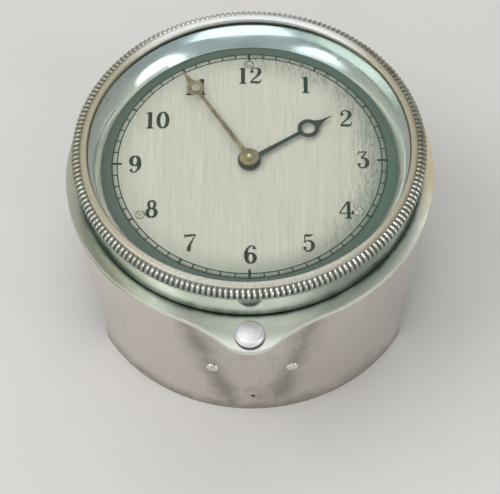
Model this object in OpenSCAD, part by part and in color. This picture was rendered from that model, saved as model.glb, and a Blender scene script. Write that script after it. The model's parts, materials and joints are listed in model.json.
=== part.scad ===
// Rim-wind dashboard clock: a nickel-plated drum with a flange and a spout at six o'clock.
// Turning the knurled bezel winds the mainspring, and the button on the spout works the setting lever.
// The drum's axis is Z, the rear edge of the drum lies at z = 0 and twelve o'clock is +Y.

/* [Case] */
// Outer radius of the drum
drum_r = 41.5; // [40:0.25:44]
// Wall of the drum
drum_wall = 0.8; // [0.6:0.1:1]
// Length of the drum, from its rear edge to the flange
drum_len = 38.9; // [37:0.1:44]
// Height of the two strap notches in the rear edge
notch_h = 17; // [10:0.5:18]
// Width of each strap notch round the drum, in degrees
notch_deg = 61; // [40:1:80]
// Corner radius of the strap notches
notch_fillet = 4; // [1:0.5:6]
// How far the flange stands out from the drum
flange_lip = 1.7; // [1:0.1:4]
// Thickness of the flange
flange_t = 1.4; // [1:0.1:2]
// Radius of the spout's tip
spout_tip_r = 8.4; // [7.5:0.1:9.5]
// Reach of the spout's tip beyond the drum
spout_reach = 7.9; // [7.7:0.1:9]
// Radius of the hollow flanks between spout and flange
spout_flank_r = 40; // [25:1:60]
// Radius of the stud that takes the clamping strap
stud_r = 2.5; // [1.5:0.25:3.5]
// Height of the rivets above the rear edge
rivet_z = 18.2; // [16:0.1:22]
// Angle of each rivet from six o'clock
rivet_deg = 13; // [9:0.5:20]
// Radius of a rivet's head
rivet_r = 1.1; // [0.8:0.1:1.5]

/* [Bezel] */
// How far the bezel's skirt stands in from the drum
bezel_inset = 1.5; // [1.2:0.1:2]
// Wall of the bezel's skirt
bezel_wall = 0.9; // [0.8:0.05:1.1]
// Running gap between flange and bezel
bezel_gap = 0.3; // [0.2:0.05:0.6]
// Height of the plain skirt
skirt_h = 6.7; // [5.5:0.1:9]
// Height of the knurled roll above the skirt
roll_h = 3.3; // [2.6:0.1:4.5]
// How far the knurl stands out from the skirt
roll_out = 1.2; // [0.9:0.1:1.8]
// How far the knurled shoulder runs in from the knurl's edge
shoulder_w = 2.0; // [1.6:0.1:2.3]
// How far the shoulder falls from the bezel's top to its edge
shoulder_fall = 1.7; // [1.2:0.1:1.9]
// Depth of the knurl's flutes
knurl_depth = 0.45; // [0.2:0.05:0.6]
// Number of flutes in the knurl
knurl_count = 200; // [120:10:240]
// Width of the lip that holds the glass, in from the skirt
lip_w = 2.7; // [2:0.1:3]
// Thickness of that lip
lip_t = 1.05; // [0.8:0.05:1.3]
// Thickness of the glass
glass_t = 1.6; // [1.2:0.1:2]

/* [Dial and hands] */
// Outer radius of the minute track
track_r = 32; // [30:0.25:32.5]
// Width of dial seen outside the minute track
dial_margin = 2.5; // [1.5:0.1:2.7]
// Thickness of the dial
dial_t = 0.6; // [0.4:0.05:0.8]
// Radius at which the dial screws stand
dial_screw_at = 29; // [27:0.25:30]
// Radius of a dial screw's head
dial_screw_r = 1; // [0.8:0.05:1.3]
// Length of the minute hand
minute_len = 30.7; // [26:0.1:32]
// Length of the hour hand
hour_len = 23.1; // [16:0.1:24]
// Minutes shown at rest
minutes_shown = 54.7; // [0:0.1:59.9]
// Hour shown at rest
hour_shown = 1; // [0:1:11]

/* [Button and setting lever] */
// Radius of the button
button_r = 3.35; // [2.5:0.05:3.4]
// How far the button stands above the flange
button_up = 2.3; // [2.1:0.1:3.5]
// Travel of the button
button_travel = 2; // [1:0.1:2]
// Distance of the button's axis from the drum's wall
button_out = 3.7; // [3.65:0.05:4.2]
// Distance of the lever's pivot inside the drum's wall
lever_in = 4; // [3.6:0.1:5]

/* [Movement] */
// Distance between the movement's plates
plates_gap = 18; // [17.5:0.1:19]
// Thickness of both plates
plate_t = 1.5; // [1.2:0.1:1.6]
// Gap between the rear plate and the back cover
cover_gap = 0.8; // [0.6:0.1:1.5]
// Thickness of the back cover
cover_t = 0.8; // [0.6:0.1:1.2]
// Height of the bezel's ring of teeth
ring_h = 1.1; // [1.1:0.05:1.8]
// Distance from the bezel's bore in to the pitch line of its ring of teeth
ring_wall = 3.1; // [2.6:0.1:3.4]
// Module of the centre wheel's teeth
centre_module = 0.3; // [0.28:0.005:0.31]
// Module of the third wheel's teeth
third_module = 0.28; // [0.26:0.005:0.29]
// Module of the fourth wheel's teeth
fourth_module = 0.25; // [0.23:0.005:0.26]
// Distance from cannon pinion to minute wheel
motion_dist = 7.2; // [7:0.05:7.4]
// Radius of the balance wheel
balance_r = 9; // [7:0.1:9.5]
// Distance from escape wheel to pallet lever
escape_dist = 6.6; // [6.4:0.05:6.8]
// Distance from pallet lever to balance
lever_dist = 5.2; // [5:0.05:5.4]
// Radial clearance of every turning fit
run = 0.04; // [0.02:0.01:0.06]

/* [Hidden] */
$fn = 64;

// Colours
nickel = "#b9b9ae";
brass = "#b79a55";
steel = "#8b8f93";
blued = "#23252c";
gilt = "#7d6a45";
silvered = "#c9cabb";
clear_glass = "#dfe8e66a";

// Case levels and radii
bore_in = drum_r - drum_wall;
flange_r = drum_r + flange_lip;
flange_z = drum_len;
seat_z = flange_z + flange_t;
drum_rebate = 0.3;
seat_clear = 0.3;
stud_neck_r = stud_r - 0.4;
stud_head_r = stud_r + 1.5;

// Bezel
bezel_z = seat_z + bezel_gap;
skirt_r = drum_r - bezel_inset;
bezel_bore_r = skirt_r - bezel_wall;
spigot_r = bezel_bore_r - 0.05;
spigot_in = spigot_r - 1.55;
snap_z = bezel_z + 0.3;
snap_t = 0.25;
snap_in = spigot_r - 0.35;
snap_out = spigot_r + 0.25;
spigot_top = snap_z + snap_t + 0.2;
roll_z = bezel_z + skirt_h;
bezel_top = roll_z + roll_h;
lip_r = skirt_r - lip_w;
roll_r = skirt_r + roll_out;
glass_top = bezel_top - lip_t;
glass_z = glass_top - glass_t;
glass_r = bezel_bore_r - 0.1;

// Movement levels
plate_top = seat_z - 0.1;
front_z = plate_top - plate_t;
rear_top = front_z - plates_gap;
rear_z = rear_top - plate_t;
cover_top = rear_z - cover_gap;
cover_z = cover_top - cover_t;
ring_z = spigot_top + 0.15;
ring_top = ring_z + ring_h;
dial_z = ring_top + 0.3;
motion_gap = dial_z - plate_top;
dial_top = dial_z + dial_t;
plate_r = spigot_in - 0.1;
sight_r = track_r + dial_margin;
dial_r = sight_r + 0.5;
dial_hole_r = 2.35;

// Winding train: ring of teeth in the bezel, pinion on a stud, ratchet wheel on the barrel arbor
ring_teeth = 96;
winding_teeth = 12;
ratchet_teeth = 26;
ring_pitch_r = bezel_bore_r - ring_wall;
winding_module = 2 * ring_pitch_r / ring_teeth;
barrel_deg = 150;
winding_at = ring_pitch_r - winding_module * winding_teeth / 2;
barrel_at = winding_at - winding_module * (winding_teeth + ratchet_teeth) / 2;

// Going train: great wheel to centre to third to fourth to escape wheel
great_teeth = 82;
centre_leaves = 10;
great_module = 2 * barrel_at / (great_teeth + centre_leaves);
centre_teeth = 80;
third_leaves = 10;
third_teeth = 75;
fourth_leaves = 10;
fourth_teeth = 80;
escape_leaves = 8;
escape_teeth = 15;
third_dist = centre_module * (centre_teeth + third_leaves) / 2;
fourth_dist = third_module * (third_teeth + fourth_leaves) / 2;
escape_gear_dist = fourth_module * (fourth_teeth + escape_leaves) / 2;
third_deg = -60;
fourth_deg = 20;
escape_deg = 80;
lever_deg = 100;
balance_deg = 100;
barrel_xy = polar(barrel_at, barrel_deg);
winding_xy = polar(winding_at, barrel_deg);
third_xy = polar(third_dist, third_deg);
fourth_xy = third_xy + polar(fourth_dist, fourth_deg);
escape_xy = fourth_xy + polar(escape_gear_dist, escape_deg);
lever_xy = escape_xy + polar(escape_dist, lever_deg);
balance_xy = lever_xy + polar(lever_dist, balance_deg);

// Motion work: cannon pinion to minute wheel, minute pinion to hour wheel
cannon_leaves = 12;
minute_teeth = 36;
minute_leaves = 10;
hour_teeth = 40;
cannon_module = 2 * motion_dist / (cannon_leaves + minute_teeth);
hour_module = 2 * motion_dist / (minute_leaves + hour_teeth);
minute_deg = -30;
minute_xy = polar(motion_dist, minute_deg);
minute_angle = 90 - 6 * minutes_shown;
hour_angle = 90 - 30 * (hour_shown + minutes_shown / 60);

// Levels of the wheels above the rear plate
centre_wheel_z = rear_top + 1.2;
great_z = rear_top + 3.2;
third_wheel_z = rear_top + 5.2;
fourth_wheel_z = rear_top + 9;
escape_wheel_z = rear_top + 2.8;
balance_z = rear_top + 6;
hair_z = rear_top + 8.8;
cock_z = rear_top + 11;
wheel_t = 0.8;
cannon_z = plate_top + 0.3;
hour_wheel_z = plate_top + 1.5;
ratchet_z = ring_z;

// Hands
hour_hub_z = dial_top + 0.4;
hour_hub_h = 1;
minute_hub_z = hour_hub_z + hour_hub_h + 0.2;
minute_hub_h = 0.8;
hand_t = 0.25;
minute_boss_r = 2.2;
minute_ring_back = 6.3;
minute_ring_r = 2.1;
minute_ring_in = 1.3;
minute_rod_w = 1.1;
minute_neck_w = 1.3;
hour_boss_r = 2.7;
hour_ring_back = 6.6;
hour_ring_r = 2.6;
hour_ring_in = 1.7;
hour_rod_w = 1.25;
hour_neck_w = 1.5;
cannon_r = 1.25;
hour_tube_r = 1.9;
arbor_r = 0.75;

// Barrel
barrel_r = great_module * great_teeth / 2 - 1;
barrel_wall = 0.8;
barrel_base_z = great_z + 1;
barrel_top = front_z - 1;
barrel_arbor_r = 2;
mainspring_w = 0.3;
mainspring_gap = 0.35;

// Button and setting lever
button_at = drum_r + button_out;
button_top = seat_z + button_up;
collar_r = button_r + 0.2;
collar_h = 0.6;
collar_recess = collar_h + 0.2;
collar_top = flange_z + collar_recess - 0.1;
button_stem_r = 1;
lever_pivot_at = drum_r - lever_in;
lever_t = 1.1;
lever_top = flange_z - 3.8;
lever_z = lever_top - lever_t;
lever_w = 3;
lever_hub_r = 1.3;
lever_pin_r = 0.6;
lever_nose_at = lever_pivot_at - 6.4;
slot_w = lever_w + 1;
cheek_t = 0.8;
rivet_tail = 0.5;
cover_r = bore_in - cheek_t - rivet_tail - 0.3;

// Fastenings
pillar_r = 1.8;
pillar_at = plate_r - 3.2;
pillar_degs = [85, 205, 325];
screw_r = 0.9;
head_r = 1.5;
head_h = 0.7;
lug_degs = [45, 135, 225, 315];
lug_t = 1;
lug_w = 5;
lug_in = plate_r - 2.2;
lug_screw_at = plate_r - 1.1;
dial_screw_degs = [90, 210, 330];
post_r = 1.5;
spot_z = 6.4;
spot_r = 0.5;

function polar(r, a) = [r * cos(a), r * sin(a)];

// Corner of a tooth outline at radius r, f pitches round from the middle of tooth k
function tooth_point(n, k, r, f) = polar(r, (k + f) * 360 / n);

// Outline of a toothed wheel: up one flank, over the tip, down the other
function wheel_points(n, root, pitch, tip, thick) = [
    for (k = [0 : n - 1])
        for (c = [[root, -thick / 2 - 0.03], [pitch, -thick / 2], [tip, -0.05],
                  [tip, 0.05], [pitch, thick / 2], [root, thick / 2 + 0.03]])
            tooth_point(n, k, c[0], c[1])
];

// Flat wheel with n teeth of module m and a bore
module toothed_wheel(n, m, h, bore, thick = 0.38, add = 0.75, ded = 1.1) {
    r = n * m / 2;
    difference() {
        linear_extrude(h) polygon(wheel_points(n, r - ded * m, r, r + add * m, thick));
        translate([0, 0, -1]) cylinder(r = bore, h = h + 2);
    }
}

// Round openings that leave a wheel with four arms
module crossing(n, at, r, h) {
    for (k = [0 : n - 1])
        rotate(360 / n * (k + 0.5)) translate([at, 0, -1]) cylinder(r = r, h = h + 2);
}

// Arbor between the plates: pinion of n leaves, body, and a pivot in each plate
module train_arbor(n, m, leaves_z, leaves_h, body_r, pivot_r, top_z) {
    translate([0, 0, rear_z + 0.2]) cylinder(r = pivot_r, h = top_z + plate_t - 0.4 - rear_z);
    translate([0, 0, rear_top + 0.3]) cylinder(r = body_r, h = top_z - rear_top - 0.6);
    translate([0, 0, leaves_z]) pinion(n, m, leaves_h);
}

// Leaves of a pinion, solid to the axis
module pinion(n, m, h) {
    r = n * m / 2;
    linear_extrude(h) polygon(wheel_points(n, r - 1.05 * m, r, r + 0.6 * m, 0.32));
}

// Phase of wheel B that meshes outside wheel A, where the line of centres lies at angle d
function mesh_turn(d, a, na, nb) = d + 180 - (a - d) * na / nb + 180 / nb;

// Phase of a pinion B that meshes inside ring A
function ring_turn(d, a, na, nb) = d + (a - d) * na / nb + 180 / nb;

winding_turn = ring_turn(barrel_deg, 0, ring_teeth, winding_teeth);
ratchet_turn = mesh_turn(barrel_deg + 180, winding_turn, winding_teeth, ratchet_teeth);
centre_turn = mesh_turn(barrel_deg + 180, 0, great_teeth, centre_leaves);
third_turn = mesh_turn(third_deg, 0, centre_teeth, third_leaves);
fourth_turn = mesh_turn(fourth_deg, 0, third_teeth, fourth_leaves);
escape_turn = mesh_turn(escape_deg, 0, fourth_teeth, escape_leaves);
minute_turn = mesh_turn(minute_deg, 0, cannon_leaves, minute_teeth);
hour_turn = mesh_turn(minute_deg + 180, 0, minute_leaves, hour_teeth);

// Ring sector that cuts a strap notch, with round upper corners
module notch_cutter() {
    half = notch_deg / 2;
    corner = notch_fillet / drum_r * 180 / PI;
    intersection() {
        union() {
            translate([0, 0, -1]) sector(half - corner, notch_h + 1);
            translate([0, 0, -1]) sector(half, notch_h - notch_fillet + 1);
            for (s = [-1, 1])
                rotate([0, 0, s * (half - corner)])
                    translate([0, 0, notch_h - notch_fillet])
                        rotate([0, 90, 0]) cylinder(r = notch_fillet, h = drum_r + 2);
        }
        translate([drum_r / 2, -drum_r, -1]) cube([drum_r, 2 * drum_r, notch_h + 2]);
    }
}

// Wedge of half angle a about +X
module sector(a, h) {
    reach = 2 * drum_r;
    linear_extrude(h) polygon([[0, 0], polar(reach, -a), [reach, 0], polar(reach, a)]);
}

module case_drum() {
    color(nickel) difference() {
        cylinder(r = drum_r, h = drum_len + drum_rebate);
        translate([0, 0, -1]) cylinder(r = bore_in, h = drum_len + 2);
        for (a = [0, 180]) rotate(a) notch_cutter();
        translate([-slot_w / 2, -drum_r - 1, lever_z - button_travel])
            cube([slot_w, drum_wall + 2, flange_z - lever_z]);
        for (s = [-1, 1])
            rotate(s * rivet_deg) translate([0, 0, rivet_z])
                rotate([90, 0, 0]) cylinder(r = rivet_r / 2, h = drum_r + 1);
        translate([0, 0, spot_z]) rotate([90, 0, 0]) cylinder(r = spot_r, h = drum_r + 1);
    }
}

// Plan of the flange: a disc whose spout runs to its tip over two hollow flanks
module flange_plan(grow) {
    tip_y = drum_r + spout_reach - spout_tip_r;
    flank = spout_flank_r;
    far = flange_r + flank;
    near = spout_tip_r + flank;
    along = (far * far - near * near + tip_y * tip_y) / (2 * tip_y);
    across = sqrt(far * far - along * along);
    disc_touch = flange_r / far;
    tip_touch = spout_tip_r / near;
    circle(r = flange_r + grow, $fn = 200);
    translate([0, -tip_y]) circle(r = spout_tip_r + grow);
    difference() {
        polygon([
            [0, 0],
            [-across * disc_touch, -along * disc_touch],
            [-across * tip_touch, -tip_y - (along - tip_y) * tip_touch],
            [across * tip_touch, -tip_y - (along - tip_y) * tip_touch],
            [across * disc_touch, -along * disc_touch]]);
        for (s = [-1, 1]) translate([s * across, -along]) circle(r = flank - grow, $fn = 200);
    }
}

// Flange with the bezel's spigot, a rebate for the drum's edge and a recess for the button's collar
module flange_plate() {
    color(nickel) difference() {
        union() {
            translate([0, 0, flange_z]) linear_extrude(flange_t) flange_plan(0);
            translate([0, 0, seat_z]) cylinder(r = spigot_r, h = spigot_top - seat_z);
        }
        translate([0, 0, flange_z - 1]) cylinder(r = spigot_in, h = spigot_top - flange_z + 2);
        translate([0, 0, flange_z - 1]) cylinder(r = drum_r + seat_clear, h = 1 + drum_rebate);
        translate([0, -button_at, flange_z - 1]) cylinder(r = button_r + run, h = flange_t + 2);
        translate([0, -button_at, flange_z - 1]) cylinder(r = collar_r + run, h = 1 + collar_recess);
        translate([0, 0, snap_z]) difference() {
            cylinder(r = spigot_r + 1, h = snap_t);
            translate([0, 0, -1]) cylinder(r = snap_in, h = 3);
        }
    }
}

module back_cover() {
    color(nickel) difference() {
        translate([0, 0, cover_z]) cylinder(r = cover_r, h = cover_t);
        translate([0, 0, cover_z - 1]) cylinder(r = stud_neck_r, h = cover_t + 2);
        for (a = pillar_degs)
            rotate(a) translate([pillar_at, 0, cover_z - 1]) cylinder(r = screw_r, h = cover_t + 2);
    }
}

// Stud with a shoulder on the cover's rear face, a neck through the cover and a six-sided head inside
module clamp_stud() {
    color(steel) {
        cylinder(r = stud_r, h = cover_z);
        translate([0, 0, cover_z - 0.1]) cylinder(r = stud_neck_r, h = cover_t + 0.2);
        translate([0, 0, cover_top]) cylinder(r = stud_head_r, h = cover_gap - 0.1, $fn = 6);
    }
}

module cover_screws() {
    color(steel)
        for (a = pillar_degs)
            rotate(a) translate([pillar_at, 0, cover_z]) {
                translate([0, 0, -head_h]) slotted_head(head_r, head_h, 180);
                cylinder(r = screw_r, h = cover_t + 2);
            }
}

// Cheese head with a slot in its free face; flip turns the slot to the underside
module slotted_head(r, h, flip) {
    slot = r / 3;
    difference() {
        cylinder(r = r, h = h);
        translate([-r - 1, -slot / 2, flip == 180 ? -1 : h / 2]) cube([2 * r + 2, slot, 1 + h / 2]);
    }
}

// Rivets of the lever's bracket: head and tail follow the curved walls that they lie on
module case_rivets() {
    foot_in = bore_in - cheek_t;
    tail_at = foot_in - rivet_tail;
    color(nickel)
        for (s = [-1, 1]) rotate(s * rivet_deg) translate([0, 0, rivet_z]) {
            translate([0, -tail_at, 0]) rotate([90, 0, 0])
                cylinder(r = rivet_r / 2, h = drum_r - tail_at + 0.1);
            intersection() {
                translate([0, -tail_at, 0]) rotate([90, 0, 0]) cylinder(r = rivet_r, h = 2 * rivet_tail);
                translate([0, 0, -2 * rivet_r]) cylinder(r = foot_in, h = 4 * rivet_r);
            }
            difference() {
                intersection() {
                    translate([0, -drum_r + rivet_r * 0.6, 0]) sphere(r = rivet_r * 1.2);
                    translate([0, -drum_r + 0.15, 0]) rotate([90, 0, 0]) cylinder(r = rivet_r, h = rivet_r);
                }
                translate([0, 0, -2 * rivet_r]) cylinder(r = drum_r, h = 4 * rivet_r);
            }
        }
}

// Bracket riveted inside the wall: a curved foot and two cheeks that hold the lever's pin
module lever_bracket() {
    foot_top = lever_z + 2.5;
    color(brass) difference() {
        union() {
            intersection() {
                translate([0, 0, rivet_z - 2.2]) difference() {
                    cylinder(r = bore_in, h = foot_top - rivet_z + 2.2);
                    translate([0, 0, -1]) cylinder(r = bore_in - cheek_t, h = foot_top);
                }
                rotate(-90) translate([0, 0, rivet_z - 3]) sector(rivet_deg + 4, foot_top);
            }
            for (s = [-1, 1])
                translate([s * (lever_w / 2 + 0.25 + cheek_t / 2) - cheek_t / 2, -bore_in + cheek_t / 2,
                           lever_z - 2])
                    cube([cheek_t, bore_in - cheek_t / 2 - lever_pivot_at + 2, 4.5]);
        }
        translate([-drum_r, -lever_pivot_at, lever_z + lever_t / 2])
            rotate([0, 90, 0]) cylinder(r = lever_pin_r, h = 2 * drum_r);
        for (s = [-1, 1])
            rotate(s * rivet_deg) translate([0, 0, rivet_z])
                rotate([90, 0, 0]) cylinder(r = rivet_r / 2, h = drum_r);
        translate([-slot_w / 2, -drum_r, lever_z - 2]) cube([slot_w, drum_wall + cheek_t + 0.2, 6]);
    }
}

module lever_pin() {
    pin_l = lever_w + 2 * (0.25 + cheek_t) + 0.6;
    color(steel) translate([-pin_l / 2, -lever_pivot_at, lever_z + lever_t / 2])
        rotate([0, 90, 0]) cylinder(r = lever_pin_r, h = pin_l);
}

// Leaf under the front plate that presses on the lever's nose
module lever_spring() {
    leaf_t = 0.25;
    low = lever_top + 0.45;
    color(steel) translate([-1, 0, 0]) {
        translate([0, -lever_nose_at + 4, low]) cube([2, 3, front_z - low]);
        translate([0, -lever_nose_at - 0.8, low]) cube([2, 5.8, leaf_t]);
    }
}

module movement_lugs() {
    color(brass)
        for (a = lug_degs) rotate(a) difference() {
            intersection() {
                translate([lug_in, -lug_w / 2, front_z - lug_t]) cube([drum_r - lug_in, lug_w, lug_t]);
                cylinder(r = bore_in, h = seat_z);
            }
            translate([lug_screw_at, 0, front_z - 2]) cylinder(r = screw_r, h = 3);
        }
}

module movement_screws() {
    color(steel)
        for (a = lug_degs) rotate(a) translate([lug_screw_at, 0, front_z - lug_t]) {
            translate([0, 0, -head_h]) slotted_head(head_r - 0.3, head_h, 180);
            cylinder(r = screw_r, h = lug_t + plate_t - 0.3);
        }
}

// Holes that both plates share: pivots of the train
module train_holes(h) {
    for (p = [third_xy, fourth_xy, escape_xy])
        translate([p[0], p[1], -1]) cylinder(r = 0.4 + run, h = h + 2);
}

module front_plate() {
    color(brass) translate([0, 0, front_z]) difference() {
        cylinder(r = plate_r, h = plate_t);
        train_holes(plate_t);
        translate([0, 0, -1]) cylinder(r = 1 + run, h = plate_t + 2);
        translate([barrel_xy[0], barrel_xy[1], -1]) cylinder(r = 1.5 + run, h = plate_t + 2);
        for (a = pillar_degs)
            rotate(a) translate([pillar_at, 0, -1]) cylinder(r = screw_r, h = plate_t + 2);
        for (a = lug_degs)
            rotate(a) translate([lug_screw_at, 0, -1]) cylinder(r = screw_r, h = plate_t + 2);
    }
}

module back_plate() {
    color(brass) translate([0, 0, rear_z]) difference() {
        cylinder(r = plate_r, h = plate_t);
        train_holes(plate_t);
        translate([0, 0, -1]) cylinder(r = 0.6 + run, h = plate_t + 2);
        translate([barrel_xy[0], barrel_xy[1], -1]) cylinder(r = 1.2 + run, h = plate_t + 2);
        translate([balance_xy[0], balance_xy[1], -1]) cylinder(r = 0.4 + run, h = plate_t + 2);
        translate([lever_xy[0], lever_xy[1], -1]) cylinder(r = 0.6, h = plate_t + 2);
        for (a = pillar_degs)
            rotate(a) translate([pillar_at, 0, -1]) cylinder(r = pillar_r - 0.4, h = plate_t + 2);
    }
}

module pillars() {
    color(brass)
        for (a = pillar_degs) rotate(a) translate([pillar_at, 0, 0]) difference() {
            union() {
                translate([0, 0, rear_top]) cylinder(r = pillar_r, h = plates_gap);
                translate([0, 0, cover_top]) cylinder(r = pillar_r - 0.4, h = rear_top - cover_top + 0.1);
            }
            translate([0, 0, cover_top - 1]) cylinder(r = screw_r, h = 3);
            translate([0, 0, front_z - 3]) cylinder(r = screw_r, h = 4);
        }
}

module pillar_screws() {
    color(steel)
        for (a = pillar_degs) rotate(a) translate([pillar_at, 0, plate_top]) {
            slotted_head(head_r, head_h, 0);
            translate([0, 0, -plate_t - 2]) cylinder(r = screw_r, h = plate_t + 2.1);
        }
}

// Split ring in the spigot's groove that keeps the bezel on
module snap_ring() {
    color(steel) translate([0, 0, snap_z]) difference() {
        cylinder(r = snap_out, h = snap_t);
        translate([0, 0, -1]) cylinder(r = snap_in, h = 3);
        rotate(-60) translate([0, 0, -1]) sector(5, 3);
    }
}

module dial() {
    color(silvered) difference() {
        translate([0, 0, dial_z]) cylinder(r = dial_r, h = dial_t);
        translate([0, 0, dial_z - 1]) cylinder(r = dial_hole_r, h = dial_t + 2);
        for (a = dial_screw_degs)
            rotate(a) translate([dial_screw_at, 0, dial_z - 1]) cylinder(r = 0.6, h = dial_t + 2);
    }
}

module dial_posts() {
    color(brass)
        for (a = dial_screw_degs) rotate(a) translate([dial_screw_at, 0, plate_top]) difference() {
            cylinder(r = post_r, h = motion_gap);
            translate([0, 0, 0.7]) cylinder(r = 0.6, h = motion_gap);
        }
}

module dial_screws() {
    color(nickel)
        for (a = dial_screw_degs) rotate(a) translate([dial_screw_at, 0, dial_top]) {
            rotate(35) slotted_head(dial_screw_r, 0.3, 0);
            translate([0, 0, 0.7 - motion_gap - dial_t]) cylinder(r = 0.6, h = motion_gap + dial_t - 0.6);
        }
}

// Studs riveted into the front plate: one each for winding pinion, minute wheel and click
module wheel_studs() {
    color(steel) {
        shouldered_stud(winding_xy, 2, 1.5, ring_z - 0.1, dial_z - 0.1);
        shouldered_stud(minute_xy, 1, 0.6, cannon_z, dial_z - 0.1);
        shouldered_stud(click_xy(), 1.2, 0.8, ratchet_z - 0.1, dial_z - 0.1);
    }
}

module shouldered_stud(at, base_r, r, shoulder_z, top) {
    translate([at[0], at[1], plate_top]) {
        cylinder(r = base_r, h = shoulder_z - plate_top);
        cylinder(r = r, h = top - plate_top);
    }
}

// The click lies beside the ratchet wheel with its beak just clear of the teeth
ratchet_tip_r = winding_module * (ratchet_teeth / 2 + 0.75);
click_dir = 250;
function click_xy() = barrel_xy + polar(ratchet_tip_r + 2.6, click_dir);

module click() {
    beak = barrel_xy + polar(ratchet_tip_r + 0.12, click_dir - 34);
    at = click_xy();
    swing = atan2(beak[1] - at[1], beak[0] - at[0]);
    reach = norm(beak - at);
    color(steel) translate([at[0], at[1], ratchet_z]) rotate(swing) difference() {
        union() {
            cylinder(r = 1.7, h = 0.8);
            linear_extrude(0.8) polygon([[0, -0.8], [reach, -0.15], [reach, 0.1], [0, 1.6]]);
        }
        translate([0, 0, -1]) cylinder(r = 0.8 + run, h = 3);
    }
}

module click_spring() {
    at = click_xy();
    color(steel) translate([at[0], at[1], ratchet_z + 0.1]) rotate(click_dir - 34 - 150) {
        translate([-1.4, -6.6, 0]) cube([2.8, 2.4, 0.6]);
        translate([-0.12, -4.3, 0]) cube([0.24, 2.4, 0.6]);
        translate([-1.2, -6.4, plate_top - ratchet_z - 0.1]) cube([2.4, 2, ratchet_z - plate_top + 0.2]);
    }
}

module lever_stud() {
    color(steel) translate([lever_xy[0], lever_xy[1], rear_z]) {
        cylinder(r = 0.6, h = escape_wheel_z + 1.4 - rear_z);
        translate([0, 0, plate_t]) cylinder(r = 1, h = escape_wheel_z - 0.15 - rear_top);
    }
}

// Cock over the balance: a foot on the rear plate and an arm with the upper pivot's hole
cock_deg = 40;
cock_reach = 11.4;
cock_t = 1.5;
cock_half_w = 2;
hair_stud_at = 5.2;
hair_stud_r = 0.5;
hair_in_r = 1;
hair_out_r = hair_stud_at - hair_stud_r - 0.15;
hair_strip = 0.12;
hair_h = 0.6;
module cock_arm(w) {
    circle(r = w);
    translate([cock_reach, 0]) circle(r = w);
    translate([0, -w]) square([cock_reach, 2 * w]);
}

module balance_cock() {
    color(brass) translate([balance_xy[0], balance_xy[1], 0]) rotate(cock_deg) difference() {
        union() {
            translate([0, 0, cock_z]) linear_extrude(cock_t) cock_arm(cock_half_w);
            translate([cock_reach, 0, rear_top]) cylinder(r = cock_half_w, h = cock_z - rear_top + 0.1);
        }
        translate([0, 0, cock_z - 1]) cylinder(r = 0.4 + run, h = 4);
        translate([cock_reach, 0, cock_z - 4]) cylinder(r = screw_r, h = 6);
        translate([hair_stud_at, 0, cock_z - 1]) cylinder(r = hair_stud_r, h = cock_t + 2);
    }
}

module cock_screw() {
    color(steel) translate([balance_xy[0], balance_xy[1], cock_z + cock_t]) rotate(cock_deg)
        translate([cock_reach, 0, 0]) {
            slotted_head(head_r, head_h, 0);
            translate([0, 0, -5]) cylinder(r = screw_r, h = 5.1);
        }
}

module hairspring_stud() {
    color(steel) translate([balance_xy[0], balance_xy[1], hair_z]) rotate(cock_deg)
        translate([hair_stud_at, 0, 0]) cylinder(r = hair_stud_r, h = cock_z - hair_z + cock_t);
}

// Flat spiral ribbon from radius r0 to r1
function spiral_points(r0, r1, turns, wide, steps) = concat(
    [for (i = [0 : steps]) polar(r0 + (r1 - r0) * i / steps, 360 * turns * i / steps)],
    [for (i = [steps : -1 : 0]) polar(r0 + wide + (r1 - r0) * i / steps, 360 * turns * i / steps)]);

module hairspring() {
    turns = 6;
    color(blued) translate([balance_xy[0], balance_xy[1], hair_z]) rotate(cock_deg)
        linear_extrude(hair_h)
            polygon(spiral_points(hair_in_r, hair_out_r, turns, hair_strip, turns * 20));
}

// Regulator index, sprung on the cock's boss above the upper pivot
module regulator() {
    color(steel) translate([balance_xy[0], balance_xy[1], cock_z - 0.75]) rotate(cock_deg + 180)
    difference() {
        union() {
            cylinder(r = 1.6, h = 0.6);
            translate([0, -0.5, 0]) cube([8, 1, 0.6]);
        }
        translate([0, 0, -1]) cylinder(r = 0.9, h = 3);
    }
}

// Outline of the bezel's knurl, one flat-topped rib per flute
function knurl_points(n, root, tip) = [
    for (k = [0 : n - 1])
        for (c = [[root, -0.22], [tip, -0.1], [tip, 0.1], [root, 0.22]])
            tooth_point(n, k, c[0], c[1] * 1.6)
];

// Rolled rim whose ribs run up a sloping shoulder to the smooth, rounded lip over the glass
module bezel_rim() {
    edge_z = bezel_top - shoulder_fall;
    crest_z = bezel_top - 0.15;
    ribs_h = crest_z - edge_z;
    taper = 1 - shoulder_w / roll_r;
    root_r = roll_r - knurl_depth;
    core_r = root_r - 0.05;
    inside = core_r - 0.4;
    lip_round = 0.4;
    groove_z = snap_z - 0.05;
    groove_top = snap_z + snap_t + 0.1;
    groove_r = snap_out + 0.1;
    color(nickel) {
        rotate_extrude($fn = 200) polygon(concat(
            [[bezel_bore_r, bezel_z], [skirt_r, bezel_z]],
            [for (t = [0 : 15 : 90])
                [skirt_r + (core_r - skirt_r) * sin(t), roll_z + (edge_z - roll_z) * (1 - cos(t))]],
            [[core_r * taper, crest_z], [core_r * taper - 0.3, bezel_top]],
            [for (t = [90 : 15 : 180])
                [lip_r + lip_round * (1 + cos(t)), bezel_top - lip_round * (1 - sin(t))]],
            [[lip_r, glass_top], [bezel_bore_r, glass_top], [bezel_bore_r, groove_top],
             [groove_r, groove_top], [groove_r, groove_z], [bezel_bore_r, groove_z]]));
        translate([0, 0, edge_z]) difference() {
            linear_extrude(ribs_h, scale = taper) polygon(knurl_points(knurl_count, root_r, roll_r));
            translate([0, 0, -0.01])
                cylinder(r1 = inside, r2 = inside - core_r * (1 - taper), h = ribs_h + 0.02, $fn = 200);
        }
    }
}

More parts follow.
